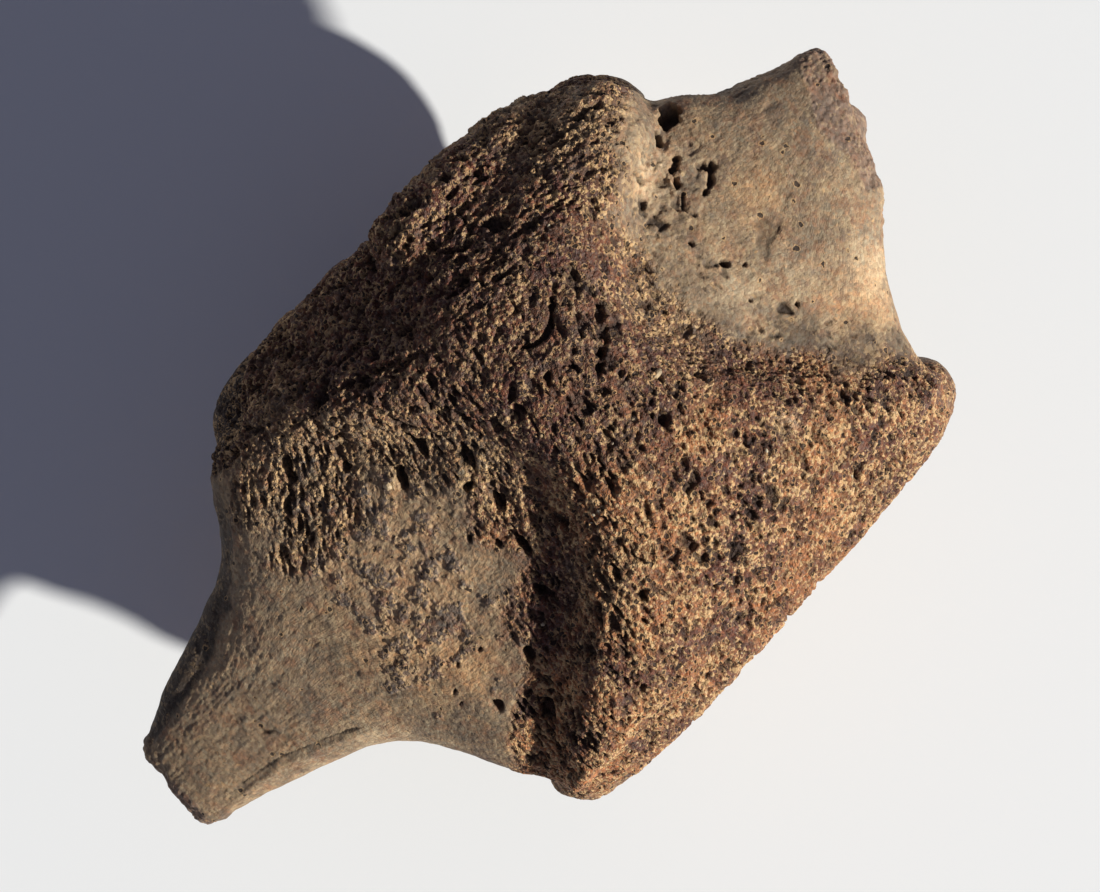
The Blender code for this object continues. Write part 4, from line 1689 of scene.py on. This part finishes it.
@dataclass(frozen=True)
class BoneFinish:
    """Old stained bone: dark sponge, tan blades, grey crust and stained patches, with painted
    light and shade.

    The colours are linear red, green and blue.  A Span that ends in "share" gives
    a strength on the bare sponge and one on the smooth bone.  A Form is a size in
    millimetres and the noise at which a mottled mask starts and is full.

    Attributes:
        effects: the shared node groups.
        name: the material's name.
        black: painted shade at the bottom of holes.
        maroon, brown: the keel's sponge.
        rust, amber: the sponge of the tail end's facet.
        fawn, tan: the smooth bone.
        bark, bark_share: darker streaks on it, and how strong they are in its
            mottle and between its fibres.
        moss, moss_share: greenish clouds on it.
        slate, gold, straw: single grey and golden grains.
        golden, wine, dun, ochre: stains on the facet, the sponge and the blades; dun near the head
            end's rim is painted light.
        coats: what lies over all these, from the bottom up; painted light and painted shade are
            among them.
        low, high, warm, cool: what the grains' colours are multiplied by.
        streaks, clouds, fibres: the mottled masks of the smooth bone.
        grain_size, fine_size, pore_size: sizes in millimetres.
        pore_share, grain_share, slate_share, bright_share: strengths of these.
        slate_grains, bright_grains: which of the grains are grey or golden.
        bright_masks: masks that make more grains golden, each with its share.
        rim_share, hole_share: strength of the rims' painted highlight and the holes' painted
            shade.
        roughness, specular: the bone's gloss.
        relief: the height of the bump in metres.
        fine_height, hole_height, fibre_height, relief_share: its parts.
    """

    effects: Effects
    name: str = "old_bone"
    black: Colour = (0.018, 0.009, 0.006)
    maroon: Colour = (0.092, 0.036, 0.025)
    brown: Colour = (0.165, 0.090, 0.052)
    rust: Colour = (0.115, 0.047, 0.030)
    amber: Colour = (0.330, 0.160, 0.072)
    fawn: Colour = (0.300, 0.224, 0.140)
    tan: Colour = (0.400, 0.295, 0.176)
    bark: Colour = (0.170, 0.120, 0.074)
    bark_share: Span = (0.50, 0.10)
    moss: Colour = (0.205, 0.165, 0.112)
    moss_share: float = 0.35
    slate: Colour = (0.165, 0.125, 0.105)
    gold: Colour = (0.660, 0.385, 0.160)
    straw: Colour = (0.680, 0.460, 0.240)
    golden: Coat = Coat("golden", 0.50, (0.400, 0.225, 0.100))
    wine: Coat = Coat("wine", 0.60, (0.092, 0.036, 0.025))
    dun: Coat = Coat("dun", 0.80, (0.320, 0.250, 0.150))
    ochre: Coat = Coat("ochre", 0.80, (0.670, 0.420, 0.205))
    coats: tuple[Coat, ...] = (
        # Pale patches, partly the bone's own colour and partly painted light.
        Coat("cream", 0.70, (0.600, 0.470, 0.300)),
        Coat("crust", 0.84, (0.130, 0.112, 0.097)),
        Coat("chip", 0.80, (0.175, 0.118, 0.090)),
        Coat("rusty", 0.42, (0.270, 0.115, 0.055)),
        Coat("smoky", 0.42, (0.095, 0.078, 0.066)),
        # Painted shade along the edges and walls that face away from the light.
        Coat("umber", 0.95, (0.030, 0.022, 0.017)),
    )
    low: Colour = (0.52, 0.45, 0.40)
    high: Colour = (1.42, 1.38, 1.30)
    warm: Colour = (1.22, 0.88, 0.68)
    cool: Colour = (0.88, 1.00, 1.12)
    streaks: Form = (1.3, 0.40, 0.62)
    clouds: Form = (4.0, 0.48, 0.60)
    fibres: Form = (330.0, 0.35, 0.75)
    grain_size: float = 0.42
    fine_size: float = 0.21
    pore_size: float = 0.85
    pore_share: Span = (0.62, 0.04)
    grain_share: Span = (0.85, 0.5)
    slate_share: Span = (0.45, 0.25)
    slate_grains: Span = (0.72, 0.82)
    bright_share: Span = (0.75, 0.20)
    bright_grains: Span = (0.92, 1.06)
    # Proud points turn golden, partly as wear and partly as painted highlight on crests that catch
    # the light.
    bright_masks: tuple[tuple[str, float], ...] = (
        ("worn_and_lit", 0.16), ("facet", 0.05), ("golden", 0.34))
    rim_share: float = 0.42
    hole_share: float = 0.88
    roughness: float = 0.74
    specular: float = 0.38
    relief: float = 0.00020
    fine_height: float = 0.6
    hole_height: float = 1.4
    fibre_height: float = 0.35
    relief_share: Span = (1.0, 0.28)

    def sponge(self, shader: Shader) -> Socket:
        """Colour of the bare sponge, before its holes are darkened."""
        keel = shader.tint(shader.mask("broad"), self.maroon, self.brown)
        facet = shader.tint(shader.mask("wide"), self.rust, self.amber)
        facet = shader.coat(facet, self.golden)
        colour = shader.tint(shader.mask("facet"), keel, facet)
        # The grey-tan coat is partly painted light near the head end's rim.
        return shader.coat(shader.coat(colour, self.wine), self.dun)

    def smooth(self, shader: Shader, place: Socket, fibres: Socket) -> Socket:
        """Colour of the blades' smooth bone, finely mottled and darker between fibres."""
        colour = shader.tint(shader.mask("broad"), self.fawn, self.tan)
        streaks = self.effects.clouds(shader, place, self.streaks)
        dark = shader.math("SUBTRACT", 1.0, streaks)
        colour = shader.tint(shader.weaker(dark, self.bark_share[0]), colour, self.bark)
        clouds = self.effects.clouds(shader, place, self.clouds)
        colour = shader.tint(shader.weaker(clouds, self.moss_share), colour, self.moss)
        colour = shader.coat(colour, self.ochre)
        between = shader.math("SUBTRACT", 1.0, fibres)
        between = shader.weaker(between, shader.mask("fibrous", self.bark_share[1]))
        return shader.tint(between, colour, self.bark)

    def grained(self, shader: Shader, colour: Socket, blade: Socket, grain: bpy.types.NodeOutputs,
                fine: bpy.types.NodeOutputs) -> Socket:
        """The colour with its grains: each a little different, some grey, some golden.

        Args:
            shader: the material's wiring helper.
            colour: the colour under the grains.
            blade: where the bone is smooth.
            grain, fine: the outputs of the coarse and the fine grain.

        Returns:
            The new colour.
        """
        tones = shader.tint(grain["Tone"], self.low, self.high)
        hues = shader.tint(grain["Hue"], self.warm, self.cool)
        varied = shader.tint(1.0, tones, hues, "MULTIPLY")
        colour = shader.tint(shader.mix(blade, *self.grain_share), colour, varied, "MULTIPLY")
        slate = shader.between(fine["Tone"], *self.slate_grains)
        slate = shader.weaker(slate, shader.mix(blade, *self.slate_share))
        colour = shader.tint(slate, colour, self.slate)
        bright = grain["Hue"]
        for name, share in self.bright_masks:
            bright = shader.math("ADD", bright, shader.mask(name, share))
        bright = shader.between(bright, *self.bright_grains)
        bright = shader.weaker(bright, shader.mix(blade, *self.bright_share))
        dull = shader.mask(self.wine.mask, self.wine.share)
        bright = shader.weaker(bright, shader.math("SUBTRACT", 1.0, dull))
        return shader.tint(bright, colour, shader.tint(fine["Tone"], self.gold, self.straw))

    def build(self) -> bpy.types.Material:
        """The material of the whole skin."""
        material, shader, surface = blank(self.name, self.roughness)
        surface.inputs["Specular IOR Level"].default_value = self.specular
        place = shader.add("ShaderNodeTexCoord").outputs["Object"]
        blade = shader.mask("blade")
        grain = shader.effect(self.effects.grain, Place=place, Size=self.grain_size)
        fine = shader.effect(self.effects.grain, Place=place, Size=self.fine_size)
        pores = shader.effect(self.effects.pores, Place=place, Size=self.pore_size,
                              Share=shader.mix(blade, *self.pore_share))
        fan = shader.add("ShaderNodeAttribute", attribute_name="fan").outputs["Vector"]
        fibres = self.effects.clouds(shader, fan, self.fibres)
        colour = shader.tint(blade, self.sponge(shader), self.smooth(shader, place, fibres))
        for coat in self.coats:
            colour = shader.coat(colour, coat)
        colour = self.grained(shader, colour, blade, grain, fine)
        # Painted highlight: the fine pores' rims are painted golden as if lit.
        colour = shader.tint(shader.weaker(pores["Rim"], self.rim_share), colour, self.gold)
        # Painted shade: holes, pits, cracks and grooves are darkened, more the deeper they lie.
        hole = shader.math("MAXIMUM", pores["Hole"], shader.mask("cavity"))
        colour = shader.tint(shader.weaker(hole, self.hole_share), colour, self.black)
        shader.feed(surface.inputs["Base Color"], colour)
        finer = shader.weaker(fine["Height"], self.fine_height)
        height = shader.math("ADD", grain["Height"], finer)
        holes = shader.weaker(pores["Hole"], self.hole_height)
        height = shader.math("SUBTRACT", height, holes)
        height = shader.weaker(height, shader.mix(blade, *self.relief_share))
        ridges = shader.weaker(fibres, shader.mask("fibrous", self.fibre_height))
        bump = shader.add("ShaderNodeBump")
        bump.inputs["Strength"].default_value = 1.0
        bump.inputs["Distance"].default_value = self.relief
        shader.feed(bump.inputs["Height"], shader.math("ADD", height, ridges))
        shader.feed(surface.inputs["Normal"], bump.outputs["Normal"])
        return material


@dataclass(frozen=True)
class SandFinish:
    """Pale sand, from white to ochre.

    Attributes:
        effects: the shared node groups.
        name: the material's name.
        ochre, pale: colours of the grains, in linear red, green and blue.
        shade, shade_share: the dirt on them.
        each: size of the lumps that give each grain its own tone, in millimetres.
        dirt: size of the dirt's patches, and the noise where they start and are full.
        roughness: the grains' gloss.
    """

    effects: Effects
    name: str = "lodged_sand"
    ochre: Colour = (0.420, 0.260, 0.110)
    pale: Colour = (0.560, 0.470, 0.330)
    shade: Colour = (0.130, 0.090, 0.055)
    shade_share: float = 0.6
    each: float = 2.5
    dirt: Form = (0.8, 0.45, 0.65)
    roughness: float = 0.55

    def build(self) -> bpy.types.Material:
        """The material of all grains."""
        material, shader, surface = blank(self.name, self.roughness)
        place = shader.add("ShaderNodeTexCoord").outputs["Object"]
        each = shader.effect(self.effects.grain, Place=place, Size=self.each)
        dirt = self.effects.clouds(shader, place, self.dirt)
        colour = shader.tint(each["Tone"], self.ochre, self.pale)
        colour = shader.tint(shader.weaker(dirt, self.shade_share), colour, self.shade)
        shader.feed(surface.inputs["Base Color"], colour)
        return material


# ------------------------------------------------------------------ studio
@dataclass(frozen=True)
class Studio:
    """A plain pale floor, one soft low light, soft fill, and the camera.

    Attributes:
        aim: where the camera's axis meets the bone's middle height, in metres.
        above: how far the camera is above that height.
        right: the frame's right-hand direction.
        lens: its focal length in millimetres.
        light_side: direction to the light, seen from above.
        light_height: the light's height in degrees.
        light_power: its strength.
        light_spread: its width in degrees.
        light_colour: its colour.
        fill_colour, fill_power: colour and strength of the light from all sides.
        floor_size, floor_drop: the floor's width, and how far below the bone it
            lies, in metres.
        floor_colour, floor_roughness: its look.
    """

    aim: Place = (0.0039, -0.0003, 0.0430)
    above: float = 0.325
    right: Spot = (0.67, -0.74)
    lens: float = 85.0
    light_side: Spot = (0.4245, -0.9030)
    light_height: float = 31.0
    light_power: float = 5.72
    light_spread: float = 2.3
    light_colour: Colour = (1.0, 0.995, 0.942)
    fill_colour: Colour = (0.65, 0.70, 1.0)
    fill_power: float = 0.165
    floor_size: float = 6.0
    floor_drop: float = 0.0001
    floor_colour: Colour = (0.80, 0.80, 0.80)
    floor_roughness: float = 0.6

    def floor(self) -> None:
        """The pale floor."""
        bpy.ops.mesh.primitive_plane_add(size=self.floor_size,
                                         location=(0.0, 0.0, -self.floor_drop))
        floor = bpy.context.active_object
        floor.name = "floor"
        material, _, surface = blank("pale_floor", self.floor_roughness)
        surface.inputs["Base Color"].default_value = (*self.floor_colour, 1.0)
        floor.data.materials.append(material)

    def lights(self) -> None:
        """The low light and the fill."""
        lamp = bpy.data.lights.new("low_light", "SUN")
        lamp.energy = self.light_power
        lamp.angle = math.radians(self.light_spread)
        lamp.color = self.light_colour
        holder = bpy.data.objects.new("low_light", lamp)
        height = math.radians(self.light_height)
        side = Vector((*self.light_side, 0.0)).normalized() * math.cos(height)
        toward = side + Vector((0.0, 0.0, math.sin(height)))
        holder.rotation_euler = toward.to_track_quat("Z", "Y").to_euler()
        bpy.context.scene.collection.objects.link(holder)
        world = bpy.data.worlds.new("fill")
        world.use_nodes = True
        sky = world.node_tree.nodes["Background"]
        sky.inputs["Color"].default_value = (*self.fill_colour, 1.0)
        sky.inputs["Strength"].default_value = self.fill_power
        bpy.context.scene.world = world
        bpy.context.scene.view_settings.view_transform = "Standard"

    def camera(self) -> None:
        """The camera, straight above the bone."""
        camera = bpy.data.objects.new("camera", bpy.data.cameras.new("camera"))
        camera.data.lens = self.lens
        camera.data.clip_start = 0.01
        right = Vector((*self.right, 0.0)).normalized()
        back = Vector((0.0, 0.0, 1.0))
        up = back.cross(right)
        turned = Matrix((right, up, back)).transposed().to_4x4()
        turned.translation = Vector(self.aim) + back * self.above
        camera.matrix_world = turned
        bpy.context.scene.collection.objects.link(camera)
        bpy.context.scene.camera = camera

    def build(self) -> None:
        """Set up everything that isn't the bone."""
        self.floor()
        self.lights()
        self.camera()


def main() -> None:
    """Build the bone's skin, dress it, and set up the studio."""
    logging.basicConfig(level=logging.INFO, format="%(message)s")
    skin = BoneSkin(frame["nodes"]).build()
    effects = Effects()
    skin.data.materials.append(BoneFinish(effects).build())
    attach(skin, "root")
    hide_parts(*sorted(frame["nodes"]))
    LOG.info("bone_skin: built and dressed")
    sand = LodgedSand(skin).build()
    sand.data.materials.append(SandFinish(effects).build())
    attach(sand, "root")
    LOG.info("lodged_sand: %d faces", len(sand.data.polygons))
    Studio().build()
    LOG.info("studio: floor, lights and camera")


if __name__ == "__main__":
    main()
